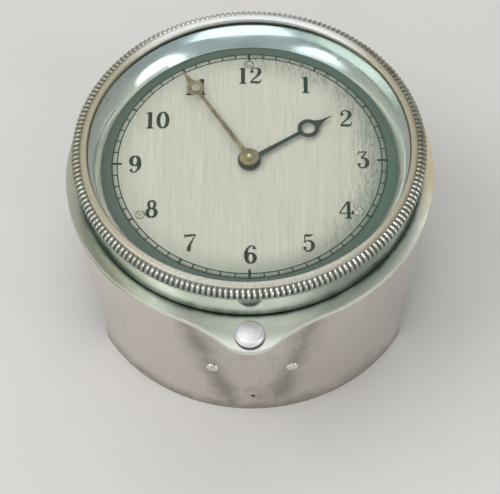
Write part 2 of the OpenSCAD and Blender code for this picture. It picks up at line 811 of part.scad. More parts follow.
module glass() {
    color(clear_glass) translate([0, 0, glass_z]) cylinder(r = glass_r, h = glass_t);
}

// Polished ring between glass and dial, with an outer wall that stands on the ring of teeth
module reflector_ring() {
    foot_z = dial_top + 0.35;
    skin = 0.6;
    top_r = lip_r - 0.1;
    wall_in = bezel_bore_r - 0.6;
    color(nickel) rotate_extrude($fn = 200) polygon([
        [top_r, glass_z], [sight_r, foot_z], [sight_r + skin, foot_z],
        [top_r + 0.35, glass_z - skin], [wall_in, glass_z - skin], [wall_in, ring_top],
        [bezel_bore_r, ring_top], [bezel_bore_r, glass_z]]);
}

// Ring with teeth on the inside
module bezel_gear() {
    m = winding_module;
    n = ring_teeth;
    color(brass) translate([0, 0, ring_z]) difference() {
        cylinder(r = bezel_bore_r, h = ring_h, $fn = 200);
        translate([0, 0, -1]) linear_extrude(ring_h + 2)
            polygon([for (k = [0 : n - 1])
                for (c = [[ring_pitch_r - 0.7 * m, -0.05], [ring_pitch_r - 0.7 * m, 0.05],
                          [ring_pitch_r, 0.19], [ring_pitch_r + 1.1 * m, 0.23],
                          [ring_pitch_r + 1.1 * m, 0.77], [ring_pitch_r, 0.81]])
                    tooth_point(n, k, c[0], c[1])]);
    }
}

module winding_pinion() {
    color(steel) translate([winding_xy[0], winding_xy[1], ring_z]) rotate(winding_turn)
        toothed_wheel(winding_teeth, winding_module, ring_h, 1.5 + run, 0.34, 0.65, 1.05);
}

module barrel_arbor() {
    color(steel) translate([barrel_xy[0], barrel_xy[1], 0]) {
        translate([0, 0, rear_z + 0.1]) cylinder(r = 1.2, h = great_z - rear_z);
        translate([0, 0, great_z - 0.6]) cylinder(r = barrel_arbor_r, h = barrel_top + 0.6 - great_z + 0.4);
        translate([0, 0, barrel_top]) cylinder(r = 1.5, h = ring_top - barrel_top);
    }
}

module ratchet_wheel() {
    color(steel) translate([barrel_xy[0], barrel_xy[1], ratchet_z]) rotate(ratchet_turn)
        toothed_wheel(ratchet_teeth, winding_module, 0.9, 1.5);
}

module great_wheel() {
    color(brass) translate([barrel_xy[0], barrel_xy[1], great_z])
        toothed_wheel(great_teeth, great_module, 1, barrel_arbor_r + run);
}

module barrel_case() {
    color(brass) translate([barrel_xy[0], barrel_xy[1], barrel_base_z]) difference() {
        cylinder(r = barrel_r, h = barrel_top - barrel_base_z - barrel_wall);
        translate([0, 0, barrel_wall]) cylinder(r = barrel_r - barrel_wall, h = plates_gap);
        translate([0, 0, -1]) cylinder(r = barrel_arbor_r + run, h = plates_gap);
    }
}

module barrel_cap() {
    color(brass) translate([barrel_xy[0], barrel_xy[1], barrel_top - barrel_wall]) difference() {
        cylinder(r = barrel_r, h = barrel_wall);
        translate([0, 0, -1]) cylinder(r = barrel_arbor_r + run, h = barrel_wall + 2);
    }
}

module mainspring() {
    turns = 9;
    r1 = barrel_r - barrel_wall - mainspring_gap;
    color(steel) translate([barrel_xy[0], barrel_xy[1], barrel_base_z + barrel_wall + 0.4])
        linear_extrude(barrel_top - barrel_base_z - 2 * barrel_wall - 0.8)
            polygon(spiral_points(barrel_arbor_r + 0.2, r1, turns, mainspring_w, turns * 20));
}

module centre_arbor() {
    color(steel) {
        translate([0, 0, rear_z + 0.2]) cylinder(r = 0.6, h = plate_t + 0.3);
        translate([0, 0, rear_top + 0.3]) cylinder(r = 1.3, h = front_z - rear_top - 0.6);
        translate([0, 0, front_z - 0.4]) cylinder(r = 1, h = plate_t + 0.5);
        translate([0, 0, front_z]) cylinder(r = arbor_r, h = minute_hub_z + minute_hub_h + 0.1 - front_z);
        translate([0, 0, great_z - 0.4]) rotate(centre_turn) pinion(centre_leaves, great_module, 1.8);
    }
}

module centre_wheel() {
    color(brass) translate([0, 0, centre_wheel_z]) difference() {
        toothed_wheel(centre_teeth, centre_module, wheel_t, 1.3);
        crossing(4, 6.4, 3.6, wheel_t);
    }
}

module cannon_pinion() {
    color(steel) {
        translate([0, 0, cannon_z]) difference() {
            pinion(cannon_leaves, cannon_module, 0.9);
            translate([0, 0, -1]) cylinder(r = arbor_r, h = 3);
        }
        translate([0, 0, cannon_z - 0.15]) difference() {
            cylinder(r = cannon_r, h = minute_hub_z + minute_hub_h - 0.3 - cannon_z + 0.15);
            translate([0, 0, -1]) cylinder(r = arbor_r, h = 10);
        }
    }
}

// Slender hand along +X: rod, open ring, then a spear point
module hand_plan(length, ring_at, ring_r, ring_in, rod_w, neck_w) {
    difference() {
        union() {
            translate([0, -rod_w / 2]) square([ring_at - ring_in, rod_w]);
            translate([ring_at, 0]) circle(r = ring_r);
            polygon([[ring_at, -ring_r * 0.96], [ring_at + ring_r * 1.25, -neck_w / 2],
                     [length, -0.12], [length, 0.12],
                     [ring_at + ring_r * 1.25, neck_w / 2], [ring_at, ring_r * 0.96]]);
        }
        translate([ring_at, 0]) circle(r = ring_in);
    }
}

module minute_hand() {
    color(gilt) rotate(minute_angle) difference() {
        union() {
            translate([0, 0, minute_hub_z + 0.2]) linear_extrude(hand_t)
                hand_plan(minute_len, minute_len - minute_ring_back, minute_ring_r, minute_ring_in,
                          minute_rod_w, minute_neck_w);
            translate([0, 0, minute_hub_z]) cylinder(r = minute_boss_r, h = minute_hub_h);
        }
        translate([0, 0, minute_hub_z - 1]) cylinder(r = cannon_r, h = minute_hub_h - 0.3 + 1);
        translate([0, 0, minute_hub_z - 1]) cylinder(r = arbor_r, h = 3);
    }
}

module hand_nut() {
    nut_z = minute_hub_z + minute_hub_h;
    color(gilt) difference() {
        union() {
            translate([0, 0, nut_z]) cylinder(r = 1.3, h = 0.2);
            translate([0, 0, nut_z + 0.2]) cylinder(r1 = 1.3, r2 = 0.8, h = 0.25);
        }
        translate([0, 0, nut_z - 1]) cylinder(r = arbor_r, h = 1.1);
    }
}

module minute_wheel() {
    color(brass) translate([minute_xy[0], minute_xy[1], cannon_z + 0.1]) difference() {
        union() {
            rotate(minute_turn) toothed_wheel(minute_teeth, cannon_module, 0.6, 0.6 + run);
            translate([0, 0, 0.5]) pinion(minute_leaves, hour_module, 1.7);
        }
        translate([0, 0, -1]) cylinder(r = 0.6 + run, h = 4);
    }
}

module hour_wheel() {
    color(brass) {
        translate([0, 0, hour_wheel_z]) rotate(hour_turn)
            toothed_wheel(hour_teeth, hour_module, 0.6, cannon_r + run);
        translate([0, 0, hour_wheel_z - 0.2]) difference() {
            cylinder(r = hour_tube_r, h = hour_hub_z + hour_hub_h - hour_wheel_z + 0.2);
            translate([0, 0, -1]) cylinder(r = cannon_r + run, h = 10);
        }
    }
}

module hour_hand() {
    color(blued) rotate(hour_angle) difference() {
        union() {
            translate([0, 0, hour_hub_z + 0.4]) linear_extrude(hand_t)
                hand_plan(hour_len, hour_len - hour_ring_back, hour_ring_r, hour_ring_in,
                          hour_rod_w, hour_neck_w);
            translate([0, 0, hour_hub_z]) cylinder(r = hour_boss_r, h = hour_hub_h);
        }
        translate([0, 0, hour_hub_z - 1]) cylinder(r = hour_tube_r, h = 3);
    }
}

module third_arbor() {
    color(steel) translate([third_xy[0], third_xy[1], 0]) rotate(third_turn)
        train_arbor(third_leaves, centre_module, centre_wheel_z - 0.4, 1.8, 0.7, 0.4, front_z);
}

module third_wheel() {
    color(brass) translate([third_xy[0], third_xy[1], third_wheel_z]) difference() {
        toothed_wheel(third_teeth, third_module, wheel_t, 0.7);
        crossing(4, 5.6, 3, wheel_t);
    }
}

module fourth_arbor() {
    color(steel) translate([fourth_xy[0], fourth_xy[1], 0]) rotate(fourth_turn)
        train_arbor(fourth_leaves, third_module, third_wheel_z - 0.5, 1.8, 0.7, 0.4, front_z);
}

module fourth_wheel() {
    color(brass) translate([fourth_xy[0], fourth_xy[1], fourth_wheel_z]) difference() {
        toothed_wheel(fourth_teeth, fourth_module, wheel_t, 0.7);
        crossing(4, 5.4, 2.9, wheel_t);
    }
}

module escape_arbor() {
    color(steel) translate([escape_xy[0], escape_xy[1], 0]) rotate(escape_turn)
        train_arbor(escape_leaves, fourth_module, fourth_wheel_z - 0.5, 1.8, 0.6, 0.4, front_z);
}

// Escape wheel with slanted teeth
escape_tip_r = 5;
module escape_wheel() {
    n = escape_teeth;
    color(brass) translate([escape_xy[0], escape_xy[1], escape_wheel_z]) difference() {
        linear_extrude(0.7) polygon([for (k = [0 : n - 1])
            for (c = [[3.8, 0], [escape_tip_r, 0.42], [escape_tip_r, 0.5], [3.8, 0.35]])
                tooth_point(n, k, c[0], c[1])]);
        translate([0, 0, -1]) cylinder(r = 0.6, h = 3);
        crossing(4, 2.2, 1, 0.7);
    }
}

// Pallet lever on its stud: two pin pallets beside the escape wheel and a fork at the impulse pin
impulse_r = lever_dist * 0.3 / 1.3;
impulse_pin_r = 0.25;
function pallet_side(p, s) = [p[0], s * p[1]];
module pallet_lever() {
    fork_at = lever_dist - impulse_r;
    pallet = [-1.3, 2.8];
    color(steel) translate([lever_xy[0], lever_xy[1], escape_wheel_z]) rotate(balance_deg) {
        difference() {
            union() {
                cylinder(r = 1.1, h = 0.7);
                translate([0, -0.7, 0]) cube([fork_at + 0.45, 1.4, 0.7]);
                for (s = [-1, 1])
                    linear_extrude(0.7) polygon([[0.5, 0], pallet_side(pallet + [0.4, 0.4], s),
                        pallet_side(pallet + [-0.25, 0.05], s), [-0.7, 0]]);
            }
            translate([0, 0, -1]) cylinder(r = 0.6 + run, h = 3);
            translate([fork_at - 0.75, -impulse_pin_r - 0.16, -1])
                cube([3, 2 * impulse_pin_r + 0.32, 3]);
        }
        for (s = [-1, 1]) translate(concat(pallet_side(pallet, s), -0.2)) cylinder(r = 0.25, h = 1.1);
    }
}

module balance_staff() {
    color(steel) translate([balance_xy[0], balance_xy[1], 0]) {
        translate([0, 0, rear_z + 0.2]) cylinder(r = 0.4, h = cock_z + 1.3 - rear_z);
        translate([0, 0, rear_top + 0.3]) cylinder(r = 0.6, h = cock_z - 0.3 - rear_top - 0.3);
        translate([0, 0, hair_z - 0.1]) cylinder(r = 1, h = 0.8);
    }
}

// Balance with two arms, and the roller with its impulse pin below
module balance_wheel() {
    color(brass) translate([balance_xy[0], balance_xy[1], balance_z]) rotate(balance_deg + 180)
    difference() {
        union() {
            difference() {
                cylinder(r = balance_r, h = 1.4);
                translate([0, 0, -1]) cylinder(r = balance_r - 1.2, h = 4);
            }
            translate([-balance_r + 0.6, -0.6, 0.2]) cube([2 * balance_r - 1.2, 1.2, 0.8]);
            translate([0, 0, -1.2]) cylinder(r = 1.9, h = 1.6);
            translate([impulse_r, 0, escape_wheel_z - 0.1 - balance_z])
                cylinder(r = impulse_pin_r, h = balance_z - escape_wheel_z);
        }
        translate([0, 0, -5]) cylinder(r = 0.6, h = 10);
    }
}

// Button: domed head, collar under the flange and the stem that meets the lever
module setting_button() {
    dome = 0.5;
    dome_r = (button_r * button_r + dome * dome) / (2 * dome);
    stem_z = lever_top + 0.15;
    color(nickel) translate([0, -button_at, 0]) {
        translate([0, 0, collar_top - 0.1])
            cylinder(r = button_r, h = button_top - dome - collar_top + 0.1);
        intersection() {
            translate([0, 0, button_top - dome_r]) sphere(r = dome_r);
            translate([0, 0, button_top - dome - 0.1]) cylinder(r = button_r, h = 2);
        }
        translate([0, 0, collar_top - collar_h]) cylinder(r = collar_r, h = collar_h);
        translate([0, 0, stem_z]) cylinder(r = button_stem_r, h = collar_top - stem_z);
    }
}

module setting_lever() {
    color(steel) translate([0, -lever_pivot_at, lever_z + lever_t / 2]) difference() {
        union() {
            translate([-lever_w / 2, lever_pivot_at - button_at - 0.4, -lever_t / 2])
                cube([lever_w, button_at - lever_nose_at + 0.4, lever_t]);
            translate([-lever_w / 2, 0, 0]) rotate([0, 90, 0]) cylinder(r = lever_hub_r, h = lever_w);
        }
        translate([-lever_w, 0, 0]) rotate([0, 90, 0]) cylinder(r = lever_pin_r + run, h = 2 * lever_w);
    }
}

case_drum();
flange_plate();
back_cover();
clamp_stud();
cover_screws();
case_rivets();
lever_bracket();
lever_pin();
lever_spring();
movement_lugs();
movement_screws();
front_plate();
back_plate();
pillars();
pillar_screws();
snap_ring();
dial();
dial_posts();
dial_screws();
wheel_studs();
click_spring();
lever_stud();
balance_cock();
cock_screw();
hairspring_stud();
hairspring();
regulator();
bezel_rim();
glass();
reflector_ring();
bezel_gear();
winding_pinion();
barrel_arbor();
ratchet_wheel();
click();
great_wheel();
barrel_case();
barrel_cap();
mainspring();
centre_arbor();
centre_wheel();
cannon_pinion();
minute_hand();
hand_nut();
minute_wheel();
hour_wheel();
hour_hand();
third_arbor();
third_wheel();
fourth_arbor();
fourth_wheel();
escape_arbor();
escape_wheel();
pallet_lever();
balance_staff();
balance_wheel();
setting_button();
setting_lever();
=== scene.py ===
import json
import math

import bpy
from mathutils import Matrix, Vector


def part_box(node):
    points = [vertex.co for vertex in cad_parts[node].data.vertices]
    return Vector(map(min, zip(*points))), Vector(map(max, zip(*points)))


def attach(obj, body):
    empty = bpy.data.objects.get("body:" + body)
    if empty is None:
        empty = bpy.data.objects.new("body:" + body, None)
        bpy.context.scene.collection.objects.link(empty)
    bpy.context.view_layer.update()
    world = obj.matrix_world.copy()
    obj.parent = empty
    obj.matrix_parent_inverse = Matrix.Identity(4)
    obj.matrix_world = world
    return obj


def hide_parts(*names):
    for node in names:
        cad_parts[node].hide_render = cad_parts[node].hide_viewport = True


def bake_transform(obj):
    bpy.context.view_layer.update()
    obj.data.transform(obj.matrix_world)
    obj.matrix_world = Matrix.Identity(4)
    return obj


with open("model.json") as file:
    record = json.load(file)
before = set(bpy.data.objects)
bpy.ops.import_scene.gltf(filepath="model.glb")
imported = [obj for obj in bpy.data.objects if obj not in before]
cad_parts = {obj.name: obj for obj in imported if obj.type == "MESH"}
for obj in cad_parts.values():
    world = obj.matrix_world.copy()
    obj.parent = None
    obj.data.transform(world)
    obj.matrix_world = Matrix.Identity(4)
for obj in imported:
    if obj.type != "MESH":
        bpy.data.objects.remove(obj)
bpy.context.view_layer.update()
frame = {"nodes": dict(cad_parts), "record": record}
nodes = frame["nodes"]

MM = 0.001
FULL_TURN = 2 * math.pi
QUARTER_TURN = [math.radians(a) for a in range(0, 91, 15)]

# Levels and radii of the clock in millimetres, from the drum's rear edge and its axis
DIAL_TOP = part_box("dial")[1].z / MM
DRUM_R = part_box("case_drum")[1].x / MM
BEZEL_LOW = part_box("bezel_rim")[0].z / MM
BEZEL_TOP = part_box("bezel_rim")[1].z / MM
KNURL_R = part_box("bezel_rim")[1].x / MM
GLASS_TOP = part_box("glass")[1].z / MM
KNURL_PROUD, SKIRT_WALL, LIP_INSET = 1.2, 0.9, 2.7
SKIRT_R = KNURL_R - KNURL_PROUD
BEZEL_BORE_R = SKIRT_R - SKIRT_WALL
LIP_R = SKIRT_R - LIP_INSET
RIB_COUNT, RIB_FALL = 200, 1.7
RIB_LOW = BEZEL_TOP - RIB_FALL
SHOULDER_W, SHOULDER_H = 2.0, 2.0
BUTTON_LOW, BUTTON_HIGH = (v.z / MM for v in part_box("setting_button"))
BUTTON_Y = (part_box("setting_button")[0].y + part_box("setting_button")[1].y) / 2 / MM
HOUR_HUB_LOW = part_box("hour_hand")[0].z / MM
HOUR_HUB_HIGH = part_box("hour_hand")[1].z / MM
MINUTE_HUB_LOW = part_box("minute_hand")[0].z / MM
MINUTE_HUB_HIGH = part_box("minute_hand")[1].z / MM
RIVET_Z = (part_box("case_rivets")[0].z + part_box("case_rivets")[1].z) / 2 / MM
SCREW_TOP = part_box("dial_screws")[1].z / MM
SCREW_AT = 29.0
TRACK_OUT = 32.1
TRACK_IN = 30.9
NUMERAL_H = 4.9
# Centres of the numerals on the dial, given one by one as on a real plate, in millimetres
NUMERAL_AT = {1: (13.5, 22.5), 2: (22.8, 12.3), 3: (26.4, 0.2), 4: (22.2, -13.9), 5: (13.4, -22.8),
              6: (0.2, -25.75), 7: (-13.5, -22.4), 8: (-22.5, -12.9), 9: (-26.7, -0.2), 10: (-22.0, 12.6),
              11: (-12.8, 22.4), 12: (0.0, 25.6)}


# Modelling by hand

def clear():
    """Leaves edit mode and deselects everything."""
    if bpy.context.mode != "OBJECT":
        bpy.ops.object.mode_set(mode="OBJECT")
    bpy.ops.object.select_all(action="DESELECT")


def take(obj):
    """Makes obj the only selected object."""
    clear()
    obj.select_set(True)
    bpy.context.view_layer.objects.active = obj


def edit_all(obj):
    """Opens the whole mesh for editing."""
    take(obj)
    bpy.ops.object.mode_set(mode="EDIT")
    bpy.ops.mesh.select_all(action="SELECT")


def settle(obj, smooth=35):
    """Puts the object's place into its mesh and shades it smooth up to an angle."""
    take(obj)
    bpy.ops.object.transform_apply(location=True, rotation=True, scale=True)
    bpy.ops.object.shade_smooth_by_angle(angle=math.radians(smooth))
    return obj


def tidy_mesh(obj, gap=0.002):
    """Merges doubles and turns all faces outwards."""
    edit_all(obj)
    bpy.ops.mesh.remove_doubles(threshold=gap * MM)
    bpy.ops.mesh.select_all(action="SELECT")
    bpy.ops.mesh.delete_loose(use_verts=True, use_edges=True, use_faces=False)
    bpy.ops.mesh.select_all(action="SELECT")
    bpy.ops.mesh.normals_make_consistent(inside=False)
    clear()


def apply_modifiers(obj):
    """Applies the piece's modifiers, in their order."""
    take(obj)
    for m in list(obj.modifiers):
        bpy.ops.object.modifier_apply(modifier=m.name)


def lathe(name, profile, steps=192, centre=(0, 0)):
    """Spins a profile of (radius, height) points in millimetres about an upright axis."""
    clear()
    bpy.ops.mesh.primitive_circle_add(vertices=len(profile), radius=MM, fill_type="NOTHING")
    obj = bpy.context.object
    obj.name = name
    for v, (r, z) in zip(obj.data.vertices, profile):
        v.co = ((centre[0] + r) * MM, centre[1] * MM, z * MM)
    edit_all(obj)
    bpy.ops.mesh.spin(steps=steps, angle=FULL_TURN, axis=(0, 0, 1),
                      center=(centre[0] * MM, centre[1] * MM, 0))
    tidy_mesh(obj)
    return settle(obj)


def ring_of(obj, count):
    """Copies the whole mesh round the drum's axis, count copies in all."""
    edit_all(obj)
    bpy.ops.mesh.spin(steps=count, angle=FULL_TURN, dupli=True, axis=(0, 0, 1), center=(0, 0, 0))
    tidy_mesh(obj)
    return settle(obj)


def bar(name, size, place, bevel):
    """A block of that size in millimetres with rounded edges."""
    clear()
    bpy.ops.mesh.primitive_cube_add(size=1, location=[c * MM for c in place])
    obj = bpy.context.object
    obj.name = name
    obj.scale = [s * MM for s in size]
    bpy.ops.object.transform_apply(location=True, rotation=True, scale=True)
    edit_all(obj)
    bpy.ops.mesh.bevel(offset=bevel * MM, segments=1, affect="EDGES")
    clear()
    return obj


def join(name, parts):
    """Joins the parts into the first of them, under a new name."""
    take(parts[0])
    for p in parts:
        p.select_set(True)
    bpy.ops.object.join()
    parts[0].name = name
    return parts[0]


def rounded(corner_r, corner_z, across, down, steps=6):
    """Points of a rounded outer edge, from the top face over to the side."""
    return [(corner_r - across + across * math.sin(t), corner_z - down + down * math.cos(t))
            for t in (math.radians(90 * k / steps) for k in range(steps + 1))]


def swept(a, corner, b, steps=8):
    """Points of a curve that leaves a towards the corner and comes from there to b, without a itself."""
    return [tuple((1 - t) ** 2 * a[i] + 2 * t * (1 - t) * corner[i] + t * t * b[i] for i in (0, 1))
            for t in (k / steps for k in range(1, steps + 1))]


# Finishes

def colour(hex_text):
    """An sRGB hex value as linear light."""
    out = []
    for k in (1, 3, 5):
        c = int(hex_text[k:k + 2], 16) / 255
        out.append(c / 12.92 if c <= 0.04045 else ((c + 0.055) / 1.055) ** 2.4)
    return (*out, 1.0)


def feed(tree, node, inputs):
    """Gives a node's inputs their values, or links them where the value is a socket."""
    for key, value in inputs.items():
        if isinstance(value, bpy.types.NodeSocket):
            tree.links.new(value, node.inputs[key])
        else:
            node.inputs[key].default_value = value


def add(tree, kind, inputs, out=0, **settings):
    """Adds a node with its settings and links, and gives back one of its outputs."""
    node = tree.nodes.new("ShaderNode" + kind)
    for key, value in settings.items():
        setattr(node, key, value)
    feed(tree, node, inputs)
    return node.outputs[out]


def finish(name):
    """A fresh material: its tree, its shader and the object's own coordinates in millimetres."""
    m = bpy.data.materials.new(name)
    m.use_nodes = True
    tree = m.node_tree
    own = add(tree, "TexCoord", {}, "Object")
    place = add(tree, "VectorMath", {0: own, "Scale": 1 / MM}, operation="SCALE")
    return m, tree, tree.nodes["Principled BSDF"], place


# A MapRange takes what it reads from inputs 1 and 2 to 3 and 4. A Mix of colours has its share in input 0.
SMOOTH = {"interpolation_type": "SMOOTHSTEP"}
MIX = {"out": 2, "data_type": "RGBA"}


def drum_nickel():
    """Nickel plate on spun brass: a mirror with faint upright scratches, grey-olive round the rivets, painted
    shade at the foot.
    """
    m, tree, shader, place = finish("polished_nickel_drum")
    x, y, z = add(tree, "SeparateXYZ", {0: place}).node.outputs
    upright = add(tree, "Mapping", {0: place, "Scale": (1 / 0.35, 1 / 0.35, 1 / 14)})
    scratch = add(tree, "TexNoise", {"Vector": upright, "Scale": 1, "Detail": 3, "Roughness": 0.6})
    cloud = add(tree, "TexNoise", {"Vector": place, "Scale": 1 / 6, "Detail": 5, "Roughness": 0.62})
    blots = add(tree, "TexNoise", {"Vector": place, "Scale": 1 / 13, "Detail": 5, "Roughness": 0.62})
    # two soft bands lean from the spout's flanks through the rivets to the foot
    lean = add(tree, "Math", {0: z, 1: 0.27, 2: 4.5}, operation="MULTIPLY_ADD")
    side = add(tree, "Math", {0: x}, operation="ABSOLUTE")
    off = add(tree, "Math", {0: side, 1: lean}, operation="SUBTRACT")
    off = add(tree, "Math", {0: off}, operation="ABSOLUTE")
    off = add(tree, "Math", {0: cloud, 1: 9.0, 2: off}, operation="MULTIPLY_ADD")
    band = add(tree, "MapRange", {0: off, 1: 3.0, 2: 10.5, 3: 0.75, 4: 0.0}, **SMOOTH)
    front = add(tree, "MapRange", {0: y, 1: -38, 2: -30, 3: 1.0, 4: 0.0}, **SMOOTH)
    band = add(tree, "Math", {0: band, 1: front}, operation="MULTIPLY")
    # painted shade: a ragged band a few millimetres high along the foot is mixed towards grey-olive
    low = add(tree, "Math", {0: cloud, 1: 8.0, 2: z}, operation="MULTIPLY_ADD")
    foot = add(tree, "MapRange", {0: low, 1: 4.0, 2: 10.0, 3: 0.7, 4: 0.0}, **SMOOTH)
    blot = add(tree, "MapRange", {0: blots, 1: 0.54, 2: 0.74, 3: 0.0, 4: 0.5}, **SMOOTH)
    # dull joins the tarnish bands, the blots and the painted shade at the foot, and makes them all rougher
    dull = add(tree, "Math", {0: band, 1: foot}, operation="MAXIMUM")
    dull = add(tree, "Math", {0: dull, 1: blot}, operation="MAXIMUM")
    streak = add(tree, "MapRange", {0: scratch, 1: 0.42, 2: 0.75, 3: 0.0, 4: 0.16}, **SMOOTH)
    tint = add(tree, "Mix", {0: streak, 6: colour("#d6d0cb"), 7: colour("#a0978c")}, **MIX)
    tint = add(tree, "Mix", {0: dull, 6: tint, 7: colour("#8a8577")}, **MIX)
    gloss = add(tree, "MapRange", {0: scratch, 1: 0.35, 2: 0.8, 3: 0.11, 4: 0.2})
    gloss = add(tree, "Math", {0: dull, 1: 0.2, 2: gloss}, operation="MULTIPLY_ADD")
    feed(tree, shader, {"Base Color": tint, "Roughness": gloss, "Metallic": 1.0})
    return m


def flange_nickel():
    """Nickel on the pressed flange: pale satin, dull at the sides, green stain and painted shade at the
    bezel's foot.
    """
    m, tree, shader, place = finish("satin_nickel_flange")
    flat = add(tree, "VectorMath", {0: place, 1: (1, 1, 0)}, operation="MULTIPLY")
    far = add(tree, "VectorMath", {0: flat}, "Value", operation="LENGTH")
    cloud = add(tree, "TexNoise", {"Vector": place, "Scale": 1 / 5, "Detail": 5, "Roughness": 0.6})
    pits = add(tree, "TexNoise", {"Vector": place, "Scale": 1 / 1.1, "Detail": 3, "Roughness": 0.5})
    # green staining and painted shade: a dark band next to the bezel's skirt, with a ragged outer edge
    ragged = add(tree, "Math", {0: cloud, 1: 1.6, 2: far}, operation="MULTIPLY_ADD")
    stain = add(tree, "MapRange", {0: ragged, 1: SKIRT_R + 0.7, 2: SKIRT_R + 1.9, 3: 0.85, 4: 0.0}, **SMOOTH)
    pit = add(tree, "MapRange", {0: pits, 1: 0.68, 2: 0.76, 3: 0.0, 4: 0.5}, **SMOOTH)
    tint = add(tree, "Mix", {0: cloud, 6: colour("#f0f3ea"), 7: colour("#d9dfd2")}, **MIX)
    # away from the spout the plate is olive, and warmer at the right
    x, y = add(tree, "SeparateXYZ", {0: place}).node.outputs[:2]
    aside = add(tree, "Math", {0: x, 1: -0.35, 2: y}, operation="MULTIPLY_ADD")
    aside = add(tree, "Math", {0: cloud, 1: 10.0, 2: aside}, operation="MULTIPLY_ADD")
    aside = add(tree, "MapRange", {0: aside, 1: -28, 2: -12, 3: 0.0, 4: 0.85}, **SMOOTH)
    right = add(tree, "MapRange", {0: x, 1: 0, 2: 34}, **SMOOTH)
    olive = add(tree, "Mix", {0: right, 6: colour("#8b8d7a"), 7: colour("#b1a380")}, **MIX)
    tint = add(tree, "Mix", {0: aside, 6: tint, 7: olive}, **MIX)
    tint = add(tree, "Mix", {0: pit, 6: tint, 7: colour("#8a8d7e")}, **MIX)
    tint = add(tree, "Mix", {0: stain, 6: tint, 7: colour("#3f5148")}, **MIX)
    gloss = add(tree, "MapRange", {0: cloud, 1: 0.3, 2: 0.7, 3: 0.27, 4: 0.36})
    feed(tree, shader, {"Base Color": tint, "Roughness": gloss, "Metallic": 1.0})
    return m


def worn_edge():
    """Plate rubbed bright on the edges, and through to warm brass at the right."""
    m, tree, shader, place = finish("worn_plate_edge")
    x = add(tree, "SeparateXYZ", {0: place}, "X")
    cloud = add(tree, "TexNoise", {"Vector": place, "Scale": 1 / 7, "Detail": 4, "Roughness": 0.6})
    right = add(tree, "MapRange", {0: x, 1: 6, 2: 34, 3: 0.05, 4: 0.9}, **SMOOTH)
    patch = add(tree, "MapRange", {0: cloud, 1: 0.35, 2: 0.6}, **SMOOTH)
    worn = add(tree, "Math", {0: right, 1: patch}, operation="MULTIPLY")
    tint = add(tree, "Mix", {0: worn, 6: colour("#e0dfd3"), 7: colour("#d9b583")}, **MIX)
    gloss = add(tree, "MapRange", {0: cloud, 1: 0.3, 2: 0.7, 3: 0.2, 4: 0.3})
    feed(tree, shader, {"Base Color": tint, "Roughness": gloss, "Metallic": 1.0})
    return m


def rim_nickel():
    """Bezel nickel: a polished skirt, a satin lip brown at the sides with a painted highlight at the back,
    grime between the ribs.
    """
    m, tree, shader, place = finish("bezel_nickel")
    x, y, z = add(tree, "SeparateXYZ", {0: place}).node.outputs
    flat = add(tree, "VectorMath", {0: place, 1: (1, 1, 0)}, operation="MULTIPLY")
    far = add(tree, "VectorMath", {0: flat}, "Value", operation="LENGTH")
    cloud = add(tree, "TexNoise", {"Vector": place, "Scale": 1 / 3, "Detail": 4, "Roughness": 0.6})
    grit = add(tree, "TexNoise", {"Vector": place, "Scale": 1 / 0.5, "Detail": 3, "Roughness": 0.6})
    # grime lies between the ribs, thinner towards the top
    out = add(tree, "MapRange", {0: far, 1: KNURL_R - SHOULDER_W - 0.3, 2: KNURL_R - SHOULDER_W}, **SMOOTH)
    low = add(tree, "MapRange", {0: z, 1: RIB_LOW - 0.7, 2: RIB_LOW - 0.2}, **SMOOTH)
    worn = add(tree, "MapRange", {0: z, 1: RIB_LOW + 0.3, 2: BEZEL_TOP - 0.25, 3: 0.95, 4: 0.6})
    grime = add(tree, "Math", {0: out, 1: low}, operation="MULTIPLY")
    grime = add(tree, "Math", {0: grime, 1: worn}, operation="MULTIPLY")
    top = add(tree, "MapRange", {0: z, 1: GLASS_TOP - 0.4, 2: GLASS_TOP}, **SMOOTH)
    # the skirt turns greenish at its foot
    foot = add(tree, "MapRange", {0: z, 1: BEZEL_LOW + 0.5, 2: BEZEL_LOW + 3.5, 3: 0.4, 4: 0.0}, **SMOOTH)
    tint = add(tree, "Mix", {0: cloud, 6: colour("#cdd0c9"), 7: colour("#b8bcb4")}, **MIX)
    tint = add(tree, "Mix", {0: foot, 6: tint, 7: colour("#9fae9f")}, **MIX)
    # the lip is fine-grained, tan at the sides and painted brighter at the back as a highlight, with lighter
    # grime there
    grain = add(tree, "MapRange", {0: grit, 1: 0.3, 2: 0.7})
    satin = add(tree, "Mix", {0: grain, 6: colour("#dbd9cd"), 7: colour("#bdb9a9")}, **MIX)
    side = add(tree, "Math", {0: x}, operation="ABSOLUTE")
    side = add(tree, "MapRange", {0: side, 1: 14, 2: 36, 3: 0.0, 4: 0.7}, **SMOOTH)
    satin = add(tree, "Mix", {0: side, 6: satin, 7: colour("#a59c80")}, **MIX)
    # painted highlight: at the back the lip is mixed towards near white
    back = add(tree, "MapRange", {0: y, 1: 22, 2: 36, 3: 0.0, 4: 0.9}, **SMOOTH)
    satin = add(tree, "Mix", {0: back, 6: satin, 7: colour("#f6f8f5")}, **MIX)
    clean = add(tree, "Math", {0: back, 1: -0.7, 2: 1.0}, operation="MULTIPLY_ADD")
    grime = add(tree, "Math", {0: grime, 1: clean}, operation="MULTIPLY")
    tint = add(tree, "Mix", {0: top, 6: tint, 7: satin}, **MIX)
    tint = add(tree, "Mix", {0: grime, 6: tint, 7: colour("#363b33")}, **MIX)
    metal = add(tree, "Math", {0: grime, 1: -0.6, 2: 1.0}, operation="MULTIPLY_ADD")
    gloss = add(tree, "MapRange", {0: cloud, 1: 0.3, 2: 0.7, 3: 0.10, 4: 0.16})
    gloss = add(tree, "Math", {0: top, 1: 0.32, 2: gloss}, operation="MULTIPLY_ADD")
    gloss = add(tree, "Math", {0: grime, 1: 0.3, 2: gloss}, operation="MULTIPLY_ADD")
    feed(tree, shader, {"Base Color": tint, "Roughness": gloss, "Metallic": metal})
    return m


